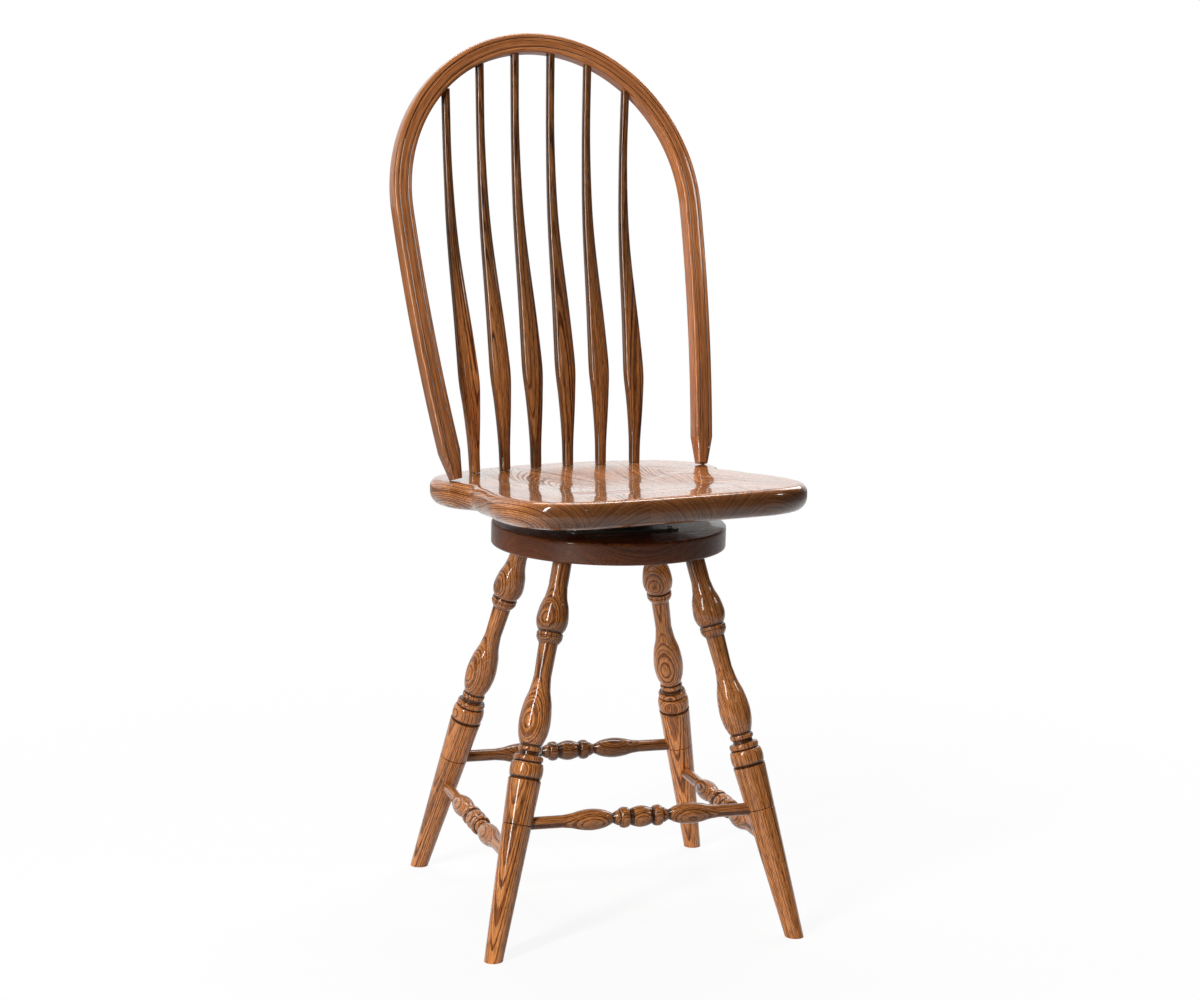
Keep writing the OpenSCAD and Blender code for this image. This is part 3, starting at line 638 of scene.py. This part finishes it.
def makeRails():
    for name, (angle, z, ovals, stain) in rail["each"].items():
        pose = baseFrame @ turned(0, 0, angle) @ shifted(0, -legAt(z), z) @ turned(0, 90, 0)
        finish = oakFinish("oak_stretcher_" + name, pose, pithOf(pose, ovals),
                           lightAndShade=[(None, 0, 1, stain, stain)])      # painted shade, the same all along
        mesh = turnedMesh("rail", railProfile(z), pose, rail["sides"], finish, full=0.6, reach=4.0)
        piece = settle("turned_stretcher_" + name, mesh, finish, sharp=32)
        hand(piece, "base", "oak", "stretcher_" + name)


disk = {
    "d": 330, "edge": 2.5, "sides": 192, "pith": (40, -90),
    "look": dict(oak, late=dye(122, 66, 32), early=dye(88, 44, 18), pore=dye(34, 14, 3), poreLong=22,
                 shine=0.06, film=0.48),
}


def makeDisk():
    edge, tall = disk["edge"], stool["diskThickness"]
    r = disk["d"] / 2 - edge
    profile = [(r + edge * math.cos(a), edge * (1 + math.sin(a)))
               for a in np.linspace(-math.pi / 2, 0, 9)]
    profile += [(r + edge * math.cos(a), tall - edge * (1 - math.sin(a)))
                for a in np.linspace(0, math.pi / 2, 9)]
    pose = baseFrame @ shifted(0, 0, stool["diskUnderside"])
    # the board's grain runs across the disk
    finish = oakFinish("oak_disk", pose @ turned(0, 90, 0), disk["pith"], disk["look"], groove=False)
    mesh = turnedMesh("disk", profile, pose, disk["sides"], finish)
    hand(settle("round_base_disk", mesh, finish, sharp=50), "base", "dark_oak", "base_disk")


makeLegs()
makeRails()
makeDisk()
print("turned pieces made")


# Seat

seat = {
    "front": 222, "back": 221, "frontHalf": 230, "earHalf": 222, "waistHalf": 205,
    "upperR": 12, "lowerR": 20, "scoop": 8, "scoopY": -10, "rim": 0.79, "run": 0.6,
    "outlineSteps": 10, "edgeSteps": 12, "scoopRings": 40,
    # glued boards: the left edge of each, where the middle of its rings lies across and above the seat,
    # and a share that shifts its pattern along the grain and makes it paler
    "boards": ((-240, -275, -120, 0.3), (-150, -46, -140, 0.48), (-62, -82, -110, 0.66),
               (38, 169, -130, 0.39), (120, 120, -150, 0.57)),
    "boardsHalf": 240,
    "boardShift": 900,               # for a share of 1
    "boardDip": 0.1,                 # how far the rings sink for each millimetre to the back
    "ringSpan": 1000,                # millimetres for each unit of the ramp that places the rings
    "endTone": 0.38,                 # how bright the end grain is beside the top
    "endDye": dye(190, 116, 66),     # end grain drinks the stain evenly, so its rings are faint
    "look": dict(oak, ringStep=2.4, ringSwell=1.2, yearLow=0.85, wander=3.0, poreLong=18, film=0.98,
                 filmRough=0.04),
    # where sitting has thinned the film: the middle, half the width and depth, and the film left there
    "wornAt": (-25, 62), "wornHalf": (135, 78), "wornFilm": 0.84,
}


def seatOutline():
    front, back = seat["front"], seat["back"]
    wide, ear, waist = seat["frontHalf"], seat["earHalf"], seat["waistHalf"]
    half = [(0, -front), (wide - 140, -front), (wide - 76, -front + 5), (wide - 31, -front + 27),
            (wide - 7, -front + 64), (wide, -front + 105), (wide - 3, -76), (wide - 12, -36),
            (waist + 8, 0), (waist, 27), (waist + 5, 46), (ear - 3, 66), (ear, 95), (ear - 7, 134),
            (ear - 38, back - 47), (ear - 96, back - 20), (ear - 158, back - 5), (0, back)]
    knots = np.array(half + [(-x, y) for x, y in reversed(half[1:-1])], float)
    steps, n = seat["outlineSteps"], len(knots)
    points = []
    for i in range(n):
        a, b, c, d = (knots[(i + k) % n] for k in (-1, 0, 1, 2))
        for u in np.arange(steps) / steps:
            points.append(0.5 * (2 * b + (c - a) * u + (2 * a - 5 * b + 4 * c - d) * u * u
                                 + (3 * b - a - 3 * c + d) * u ** 3))
    points = np.array(points)
    along = np.roll(points, -1, 0) - np.roll(points, 1, 0)
    out = np.stack([along[:, 1], -along[:, 0]], 1)
    return points, out / np.linalg.norm(out, axis=1)[:, None]


def seatFinish():
    look, half, span = seat["look"], seat["boardsHalf"], seat["ringSpan"]
    make = Finish("oak_seat")
    spot = make.place(seatFrame)
    x, y, z = spot.part("X"), spot.part("Y"), spot.part("Z")
    # a ramp holds three values for each board, none of them below zero because they pass for a colour
    stops = [((left + half) / (2 * half), (0.5 + beside / span, -above / span, share))
             for left, beside, above, share in seat["boards"]]
    board = make.add("ShaderNodeValToRGB", {"interpolation": "CONSTANT", "stops": stops}, {
        "Fac": (x + half) / (2 * half)})
    share = board.part("Z")
    across = x - (board.part("X") - 0.5) * span
    deep = z + board.part("Y") * span + y * seat["boardDip"]
    along = y + share * seat["boardShift"]
    local = make.add("ShaderNodeCombineXYZ", {}, {"X": across, "Y": deep, "Z": along})
    colour, pores, early = woodColour(make, local, (0, 0), look)

    (midX, midY), (halfX, halfY) = seat["wornAt"], seat["wornHalf"]
    offX, offY = (x - midX) * (1 / halfX), (y - midY) * (1 / halfY)
    worn = make.ease((offX * offX + offY * offY).of("SQRT"), 0.55, 1.25, 1.0, 0.0)
    colour = colour * (1.0 - worn * early * 0.2)
    facing = make.coords("Normal").part("Y").of("ABSOLUTE")
    colour = make.blend(make.ease(facing, 0.2, 0.8, 0.0, 0.2), colour, seat["endDye"])
    colour = colour * (0.85 + share * 0.4) * make.ease(facing, 0.15, 0.85, 1.0, seat["endTone"])
    film = look["film"] - worn * (look["film"] - seat["wornFilm"])
    film = (film - (pores * 0.2 + early * 0.5) * (worn * 1.2 + 0.4)).of("MAXIMUM", 0.05)
    return varnished(make, look, colour, pores, early, film)


def makeSeat():
    outline, out = seatOutline()
    upper, lower, thick = seat["upperR"], seat["lowerR"], stool["seatThickness"]
    rings = []

    def ring(inset, z):
        p = outline - inset * out
        rings.append(np.column_stack([p, np.full(len(p), z)]))

    for a in np.linspace(0, math.pi / 2, seat["edgeSteps"] + 1):
        ring(lower * (1 - math.sin(a)), -thick + lower * (1 - math.cos(a)))
    for a in np.linspace(math.pi / 2, 0, seat["edgeSteps"] + 1):
        ring(upper * (1 - math.sin(a)), -upper * (1 - math.cos(a)))
    for f in 1 - np.arange(1, seat["scoopRings"]) / seat["scoopRings"]:
        u = min(1, max(0, (seat["rim"] - f) / seat["run"]))
        p = outline - upper * out
        rings.append(np.column_stack([p[:, 0] * f, seat["scoopY"] + (p[:, 1] - seat["scoopY"]) * f,
                                      np.full(len(p), -seat["scoop"] * u * u * (3 - 2 * u))]))
    points, faces = skin(rings, (0, seat["scoopY"], -thick), (0, seat["scoopY"], -seat["scoop"]))
    mesh = bpy.data.meshes.new("seat")
    mesh.from_pydata([tuple(p) for p in moved(seatFrame, points) * mm], [], faces)
    hand(settle("shaped_seat", mesh, seatFinish(), sharp=38), "seat_and_back", "oak", "seat")


makeSeat()
print("seat made")


# Bow and spindles: Geometry Nodes sweep a section along a bent spine. Their grain follows the bent wood,
# so each mesh carries it as an attribute in millimetres.

def sweepTree(name):
    # The spine's points carry their place, the ways across and back, the shares of the half sizes that
    # count there and how far out the skin may reach. The section's carry their own place, from -1 to 1.
    make = Shaping(name, {
        "Section": "Object", "HalfWidth": "Float", "HalfDepth": "Float", "Finish": "Material"})
    section = make.add("GeometryNodeObjectInfo", {}, {"Object": make.given("Section")}, "Geometry")
    spine = make.add("GeometryNodeMeshToCurve", {}, {"Mesh": make.given("Geometry")})
    loop = make.add("GeometryNodeMeshToCurve", {}, {"Mesh": section})
    stock = make.add("GeometryNodeCurveToMesh", {}, {
        "Curve": spine, "Profile Curve": loop, "Fill Caps": True})
    power = make.carried("power")

    def out(label, half, share):
        spot = make.carried(label)
        bulged = spot.of("SIGN") * spot.of("ABSOLUTE").of("POWER", power)
        return bulged * make.given(half) * make.carried(share)

    x = out("sectionX", "HalfWidth", "wide")
    y = out("sectionY", "HalfDepth", "deep")
    held = (make.carried("limit") / (x * x + y * y).of("SQRT")).of("MINIMUM", 1.0)
    x, y = x * held, y * held
    across, back = make.carried("across", "FLOAT_VECTOR"), make.carried("back", "FLOAT_VECTOR")
    spot = make.carried("middle", "FLOAT_VECTOR") + across * x + back * y
    grain = make.add("ShaderNodeCombineXYZ", {}, {
        "X": x * (1 / mm), "Y": y * (1 / mm), "Z": make.carried("along")})
    stock = make.add("GeometryNodeStoreNamedAttribute", {"data_type": "FLOAT_VECTOR"}, {
        "Geometry": stock, "Name": "grain", "Value": grain})
    return make.done(make.add("GeometryNodeSetPosition", {}, {"Geometry": stock, "Position": spot}))


sweepStock = sweepTree("bent_stock")


def sweptMesh(name, pose, spine, section, halfWidth, halfDepth, material):
    # spine holds a value for each point under each name, lengths in millimetres in the frame of the pose
    marks = dict(spine, middle=moved(pose, spine["middle"]) * mm, limit=np.array(spine["limit"]) * mm)
    turn = np.array(pose)[:3, :3]
    for way in ("across", "back"):
        marks[way] = np.array(spine[way]) @ turn.T
    x, y, recess = section.T
    edge = wireBlank(name + "Section", np.column_stack([x, y, 0 * x]),
                     {"sectionX": x, "sectionY": y, "recess": recess}, True)
    mesh = plain(wireBlank(name, marks["middle"], marks), sweepStock, {
        "Section": edge, "HalfWidth": halfWidth * mm, "HalfDepth": halfDepth * mm, "Finish": material})
    bpy.data.objects.remove(edge)
    for mark in list(marks) + ["sectionX", "sectionY"]:
        mesh.attributes.remove(mesh.attributes[mark])
    return mesh


bow = {
    "footHalf": 199.5, "r": 235, "centre": 393, "turnIn": 1.9,
    "w": 27.96, "t": 21.96,          # a hair under the solid's 28 by 22, to stay within its box
    "edge": 4.5, "groove": 6.6, "grooveDeep": 0.9, "footD": 17.6, "taper": 42, "lift": 0.4,
    "arcSteps": 150, "limbSteps": 60, "taperSteps": 26,
    "pith": (-78, -34), "lean": 0.01,    # middle of the growth rings, off that of the stock, and its drift
    "look": dict(oak, ringStep=2.6, late=dye(196, 124, 73), early=dye(164, 98, 54), pore=dye(98, 52, 22),
                 poreLong=30, poreFrom=0.54, film=0.55),
    # how bright it is made: darker towards the feet from one place to another up the bow, and painted
    # light and shade from left to right
    "upTone": (40, 330, 0.7, 1.0), "sideLightAndShade": (-230, 120, 0.88, 1.15),
}


def stockSection():
    # x outwards from the middle of the stock and y to the front, as shares of the half sizes, and how
    # deep in a groove
    halfW, face, r = bow["w"] / 2, bow["t"] / 2, bow["edge"]
    x, y = halfW - r, face - r
    points = []

    def corner(cx, cy, start):
        for a in np.radians(np.linspace(start, start + 90, 8)):
            points.append((cx + r * math.cos(a), cy + r * math.sin(a), 0))

    def groove(at):
        d = bow["grooveDeep"]
        points.extend([(at + d + 0.3, face, 0), (at + d, face - 0.1, 0.2), (at + 0.15, face - d, 1),
                       (at - 0.15, face - d, 1), (at - d, face - 0.1, 0.2), (at - d - 0.3, face, 0)])

    corner(x, y, 0)
    groove(bow["groove"])
    points.append((0, face, 0))
    groove(-bow["groove"])
    corner(-x, y, 90)
    corner(-x, -y, 180)
    corner(x, -y, 270)
    return np.array(points) / (halfW, face, 1)


def makeBow():
    turnIn = math.radians(bow["turnIn"])
    r, centre, footR, taper = bow["r"], bow["centre"], bow["footD"] / 2, bow["taper"]
    arcEnd = np.array([r * math.cos(turnIn), centre - r * math.sin(turnIn)])
    chord = np.array([bow["footHalf"], 0]) - arcEnd
    normal = np.array([math.cos(turnIn), -math.sin(turnIn)])
    limbR = -(chord @ chord) / (2 * (chord @ normal))
    sweep = 2 * math.asin(np.linalg.norm(chord) / (2 * limbR))
    limbCentre = arcEnd - limbR * normal
    footAngle = turnIn + sweep
    footLift = footR * math.tan(math.radians(stool["bowLean"])) + bow["lift"]
    fullR = math.hypot(bow["w"] / 2 - bow["edge"], bow["t"] / 2 - bow["edge"]) + bow["edge"]
    spine = {"middle": [], "across": [], "limit": [], "along": []}

    def station(side, middle, radius, a, limit, along):
        way = np.array([side * math.cos(a), 0, math.sin(a)])
        spot = np.array([side * middle[0], 0, middle[1]]) + radius * way
        for label, value in zip(spine, (spot, way, limit, along)):
            spine[label].append(value)

    limbLong = limbR * math.sin(sweep)
    places = np.unique(np.concatenate([np.linspace(footLift, taper, bow["taperSteps"]),
                                       np.linspace(taper, limbLong, bow["limbSteps"])]))
    turn = math.pi + 2 * turnIn
    arcLong = r * turn

    def limit(up):
        return noLimit if up >= taper else footR + (fullR - footR) * up / taper

    for up in places:
        station(-1, limbCentre, limbR, math.asin(up / limbR) - footAngle, limit(up), up)
    for i in range(bow["arcSteps"] - 1, 0, -1):
        station(1, (0, centre), r, turn * i / bow["arcSteps"] - turnIn, noLimit,
                limbLong + arcLong * (1 - i / bow["arcSteps"]))
    for up in places[::-1]:
        station(1, limbCentre, limbR, math.asin(up / limbR) - footAngle, limit(up),
                2 * limbLong + arcLong - up)
    count = len(spine["along"])
    spine["back"] = [(0, -1, 0)] * count
    spine.update({label: [1] * count for label in ("wide", "deep", "power")})
    # painted light and shade across the bow, and darker towards its feet
    lightAndShade = [(bowFrame, *bow["upTone"]), (bowFrame @ turned(0, 90, 0), *bow["sideLightAndShade"])]
    finish = oakFinish("oak_bow", None, bow["pith"], bow["look"], lean=bow["lean"], lightAndShade=lightAndShade)
    mesh = sweptMesh("bow", bowFrame, spine, stockSection(), bow["w"] / 2, bow["t"] / 2, finish)
    hand(settle("bent_bow", mesh, finish, sharp=30), "seat_and_back", "oak", "bow_hoop")


makeBow()
print("bow made")


spindle = {
    "count": 6, "seatGap": 52.6, "bowGap": 58.7, "rowY": 172, "rowR": 720, "lift": 0.4,
    "footD": 16, "topD": 12.7, "paddleW": 30, "paddleT": 17.5, "paddleAt": 0.235,
    "bendForward": 5.7, "bendBack": 13.6, "sides": 40, "rings": 110, "topIn": 2,
    "square": 1.2,                   # how square the paddle's section is, where 0 would be an oval
    # for each, the middle of its growth rings, whose drift goes one way and the other in turn
    "pith": ((14, -40), (-22, -34), (18, 38), (-16, -52), (26, -30), (-12, 44)), "lean": 0.02,
    # painted light and shade on each at its wide part, painted shade on all at the thin end and on the
    # sides, and all darker towards the foot
    "stain": (1.3, 0.66, 0.48, 0.5, 0.56, 0.54), "thinPaintedShade": 0.29, "paintedShadeFrom": 140, "paintedShadeTo": 330,
    "footStain": 0.62, "footTo": 90, "sidePaintedShade": 0.6,
}


def spindleSpine(i):
    n = i - (spindle["count"] + 1) / 2
    x = spindle["seatGap"] * n
    foot = np.array([x, spindle["rowY"] - spindle["rowR"] + math.sqrt(spindle["rowR"] ** 2 - x * x),
                     spindle["lift"]])
    x = spindle["bowGap"] * n
    inner = bow["r"] - bow["w"] / 2
    w = bow["centre"] + math.sqrt(inner * inner - x * x)
    lean = math.radians(stool["bowLean"])
    top = np.array([x, stool["bowFootY"] + w * math.sin(lean), w * math.cos(lean)])
    long = np.linalg.norm(top - foot)
    footD, topD, wide, thick = spindle["footD"], spindle["topD"], spindle["paddleW"], spindle["paddleT"]
    ahead, behind = spindle["bendForward"], spindle["bendBack"]
    bend = [(0, 0), (0.17, -ahead), (0.35, 0), (0.6, behind), (0.8, 0.85 * behind), (1, 0)]
    width = [(0, footD), (0.06, footD + 1.2), (0.17, wide - 5), (spindle["paddleAt"], wide),
             (0.3, wide - 1.4), (0.5, wide - 10), (0.62, topD + 3.4), (0.82, topD), (1, topD)]
    depth = [(0, footD), (spindle["paddleAt"], thick), (0.5, thick - 2), (0.82, topD), (1, topD)]

    def at(t):
        return foot + (top - foot) * t + np.array([0, smoothAt(bend, t), 0])

    labels = ("middle", "across", "back", "wide", "deep", "power", "limit", "along")
    spine = {label: [] for label in labels}
    for t in np.linspace(0, 1 + spindle["topIn"] / long, spindle["rings"]):
        inside = min(t, 1)
        way = at(min(1, inside + 0.01)) - at(max(0, inside - 0.01))
        way /= np.linalg.norm(way)
        across = np.cross((0, 1, 0), way)
        across /= np.linalg.norm(across)
        back = np.cross(way, across)
        w, d = smoothAt(width, inside) / 2, smoothAt(depth, inside) / 2
        values = (at(inside) + way * max(0, t - 1) * long, across, back, w / (wide / 2), d / (thick / 2),
                  1 / (1 + spindle["square"] * (w - d) / (wide - thick)), noLimit, t * long)
        for label, value in zip(labels, values):
            spine[label].append(value)
    return spine


def makeSpindles():
    angles = 2 * math.pi * (np.arange(spindle["sides"]) + 0.5) / spindle["sides"]
    section = np.column_stack([np.cos(angles), np.sin(angles), np.zeros(len(angles))])
    for i, (pith, stain) in enumerate(zip(spindle["pith"], spindle["stain"]), 1):
        # painted light and shade along each spindle, and darker towards its foot
        lightAndShade = [(None, spindle["paintedShadeFrom"], spindle["paintedShadeTo"], stain, spindle["thinPaintedShade"]),
                 (None, 0, spindle["footTo"], spindle["footStain"], 1.0)]
        finish = oakFinish("oak_spindle_%d" % i, None, pith, lean=spindle["lean"] * (-1) ** i,
                           lightAndShade=lightAndShade, sideLightAndShade=spindle["sidePaintedShade"], groove=False)
        mesh = sweptMesh("spindle", seatFrame, spindleSpine(i), section, spindle["paddleW"] / 2,
                         spindle["paddleT"] / 2, finish)
        mesh.attributes.remove(mesh.attributes["recess"])
        piece = settle("shaved_spindle_%d" % i, mesh, finish, sharp=40)
        hand(piece, "seat_and_back", "oak", "spindle_%d" % i)


makeSpindles()
print("spindles made")


# Swivel: the pressed plates, rivet and cage keep their solids. Balls and screws are made on rings.

blackSteel = plainFinish("black_plate", (0.07, 0.075, 0.055), rough=0.3, grain=0.00003, coat=0.3)
brightSteel = plainFinish("zinc_steel", (0.62, 0.62, 0.6), rough=0.28, metal=1.0, grain=0.00002)
nylon = plainFinish("nylon_cage", dye(206, 202, 186), rough=0.45)
for node, finish in (("swivel_lower_plate", blackSteel), ("swivel_upper_plate", blackSteel),
                     ("swivel_rivet", brightSteel), ("bearing_cage", nylon)):
    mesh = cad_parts[node].data
    mesh.materials.clear()
    mesh.materials.append(finish)

bearing = {"count": 20, "ballD": 8, "ringD": 108, "ballZ": 10, "sides": 16}
screw = {
    "count": 4,
    "at": 68,                # from the axis, both ways
    "plateT": 2.5, "headD": 8.4, "headT": 2.4, "shankD": 4, "long": 18, "tip": 4, "sides": 20,
}


def makeBalls():
    r = bearing["ballD"] / 2
    profile = [(r * math.sin(a), -r * math.cos(a)) for a in np.linspace(0.12, math.pi - 0.12, 11)]
    pose = diskFrame @ shifted(0, 0, bearing["ballZ"])
    mesh = turnedMesh("ball", profile, pose, bearing["sides"], brightSteel,
                      ring=(bearing["count"], bearing["ringD"] / 2))
    piece = settle("ring_of_bearing_balls", mesh, brightSteel, sharp=50)
    hand(piece, "base", "bright_steel", "bearing_balls")


def makeScrews():
    shank, head, tall = screw["shankD"] / 2, screw["headD"] / 2, screw["headT"]
    profile = [(0.4, -screw["long"]), (shank, screw["tip"] - screw["long"]), (shank, -0.02), (head, 0),
               (head, tall * 0.4), (head * 0.86, tall * 0.72), (head * 0.6, tall)]
    ring = (screw["count"], screw["at"] * math.sqrt(2))
    over = diskFrame @ shifted(0, 0, screw["plateT"])
    below = shifted(0, 0, -stool["seatThickness"] - screw["plateT"])
    under = seatFrame @ below @ turned(180, 0, 0)
    for name, pose, body, node in (("four_base_screws", over, "base", "base_screws"),
                                   ("four_seat_screws", under, "seat_and_back", "seat_screws")):
        mesh = turnedMesh("screw", profile, pose @ turned(0, 0, 45), screw["sides"], brightSteel,
                          ring=ring)
        hand(settle(name, mesh, brightSteel, sharp=40), body, "bright_steel", node)


makeBalls()
makeScrews()
print("swivel made")


# Studio

studio = {
    "azimuth": -29.41, "elevation": 9.77, "distance": 3.7137, "roll": 1.33, "lens": 79.365,
    "target": (-0.0113, 0.0041, 0.5835), "sensor": 36, "clip": (0.1, 60),
    "ambient": 0.1, "floorR": 14, "floorSides": 96, "floorTone": 0.92,
    # two distances from the stool, and how much light the floor gives back there and how white it shows
    "floorGiven": (0.3, 1.0, 0.5, 0.1), "floorWhite": (0.3, 1.8, 0.9, 1.0),
    # polished wood mirrors a dark room in front: its azimuth and elevation, the cosines between which
    # white turns dark, and how much light is left
    "roomAt": (0, 8), "roomTurn": (-0.75, -0.1), "roomDark": 0.04,
    # strips and panels: azimuth and elevation of the middle, distance, width, height, radiance
    "lamps": (("key_strip", -66, 28, 3.2, 0.34, 2.9, 33.0), ("side_panel", 56, 28, 3.4, 0.4, 0.5, 14.0),
              ("front_spot", -3, 19, 3.8, 0.14, 0.3, 12.0), ("top_strip", 150, 64, 2.6, 2.4, 0.4, 14.0),
              ("rim_panel", 118, 32, 3.4, 1.0, 1.4, 5.0)),
    "lampsAim": (0, 0, 0.6),
}


def makeCamera():
    back = towards(studio["azimuth"], studio["elevation"])
    right = towards(studio["azimuth"] + 90, 0)
    level = Matrix((right, back.cross(right), back)).transposed().to_4x4()
    spot = Vector(studio["target"]) + back * studio["distance"]
    data = bpy.data.cameras.new("camera")
    data.lens = studio["lens"]
    data.sensor_width = studio["sensor"]
    data.clip_start, data.clip_end = studio["clip"]
    camera = newObject("camera", data)
    camera.matrix_world = shifted(*spot) @ level @ turned(0, 0, studio["roll"])
    bpy.context.scene.camera = camera


def makeLamps():
    middle = Vector(studio["lampsAim"])
    for name, azimuth, elevation, distance, wide, tall, radiance in studio["lamps"]:
        data = bpy.data.lights.new(name, "AREA")
        data.shape = "RECTANGLE"
        data.size, data.size_y = wide, tall
        data.energy = radiance * math.pi * wide * tall
        lamp = newObject(name, data)
        out = towards(azimuth, elevation)
        lamp.location = middle + out * distance
        lamp.rotation_euler = out.to_track_quat("Z", "Y").to_euler()
        lamp.visible_camera = False


def makeWorld():
    world = bpy.data.worlds.new("studio")
    bpy.context.scene.world = world
    world.use_nodes = True
    make = Nodes(world.node_tree)
    shown = (make.ray("Camera") + make.ray("Transmission")).of("MINIMUM", 1.0)
    mirrored = make.ray("Glossy")
    toRoom = make.coords("Generated").number("DOT_PRODUCT", tuple(towards(*studio["roomAt"])))
    room = make.ease(toRoom, *studio["roomTurn"], 1.0, studio["roomDark"])
    strength = shown + mirrored * room + (1.0 - shown - mirrored) * studio["ambient"]
    glow = make.add("ShaderNodeBackground", {}, {"Color": (1, 1, 1), "Strength": strength})
    make.end("ShaderNodeOutputWorld", glow)


def makeFloor():
    r, n = studio["floorR"], studio["floorSides"]
    turns = [2 * math.pi * i / n for i in range(n)]
    points = [(r * math.cos(turn), r * math.sin(turn), 0) for turn in turns]
    mesh = bpy.data.meshes.new("floor")
    mesh.from_pydata(points, [], [tuple(range(n))])
    make = Finish("pale_floor")
    away = make.coords("Object").number("LENGTH")
    bounced = make.ray("Diffuse")
    given = studio["floorTone"] * (1.0 - bounced) + bounced * make.ease(away, *studio["floorGiven"])
    matt = make.add("ShaderNodeBsdfDiffuse", {}, {"Color": given})
    glow = make.add("ShaderNodeEmission", {}, {"Color": (1, 1, 1)})
    white = make.ray("Camera") * make.ease(away, *studio["floorWhite"])
    shown = make.add("ShaderNodeMixShader", {}, {0: white, 1: matt, 2: glow})
    mesh.materials.append(make.done(shown))
    newObject("floor", mesh)


makeCamera()
makeLamps()
makeWorld()
makeFloor()
bpy.context.scene.view_settings.view_transform = "Standard"
print("studio ready")
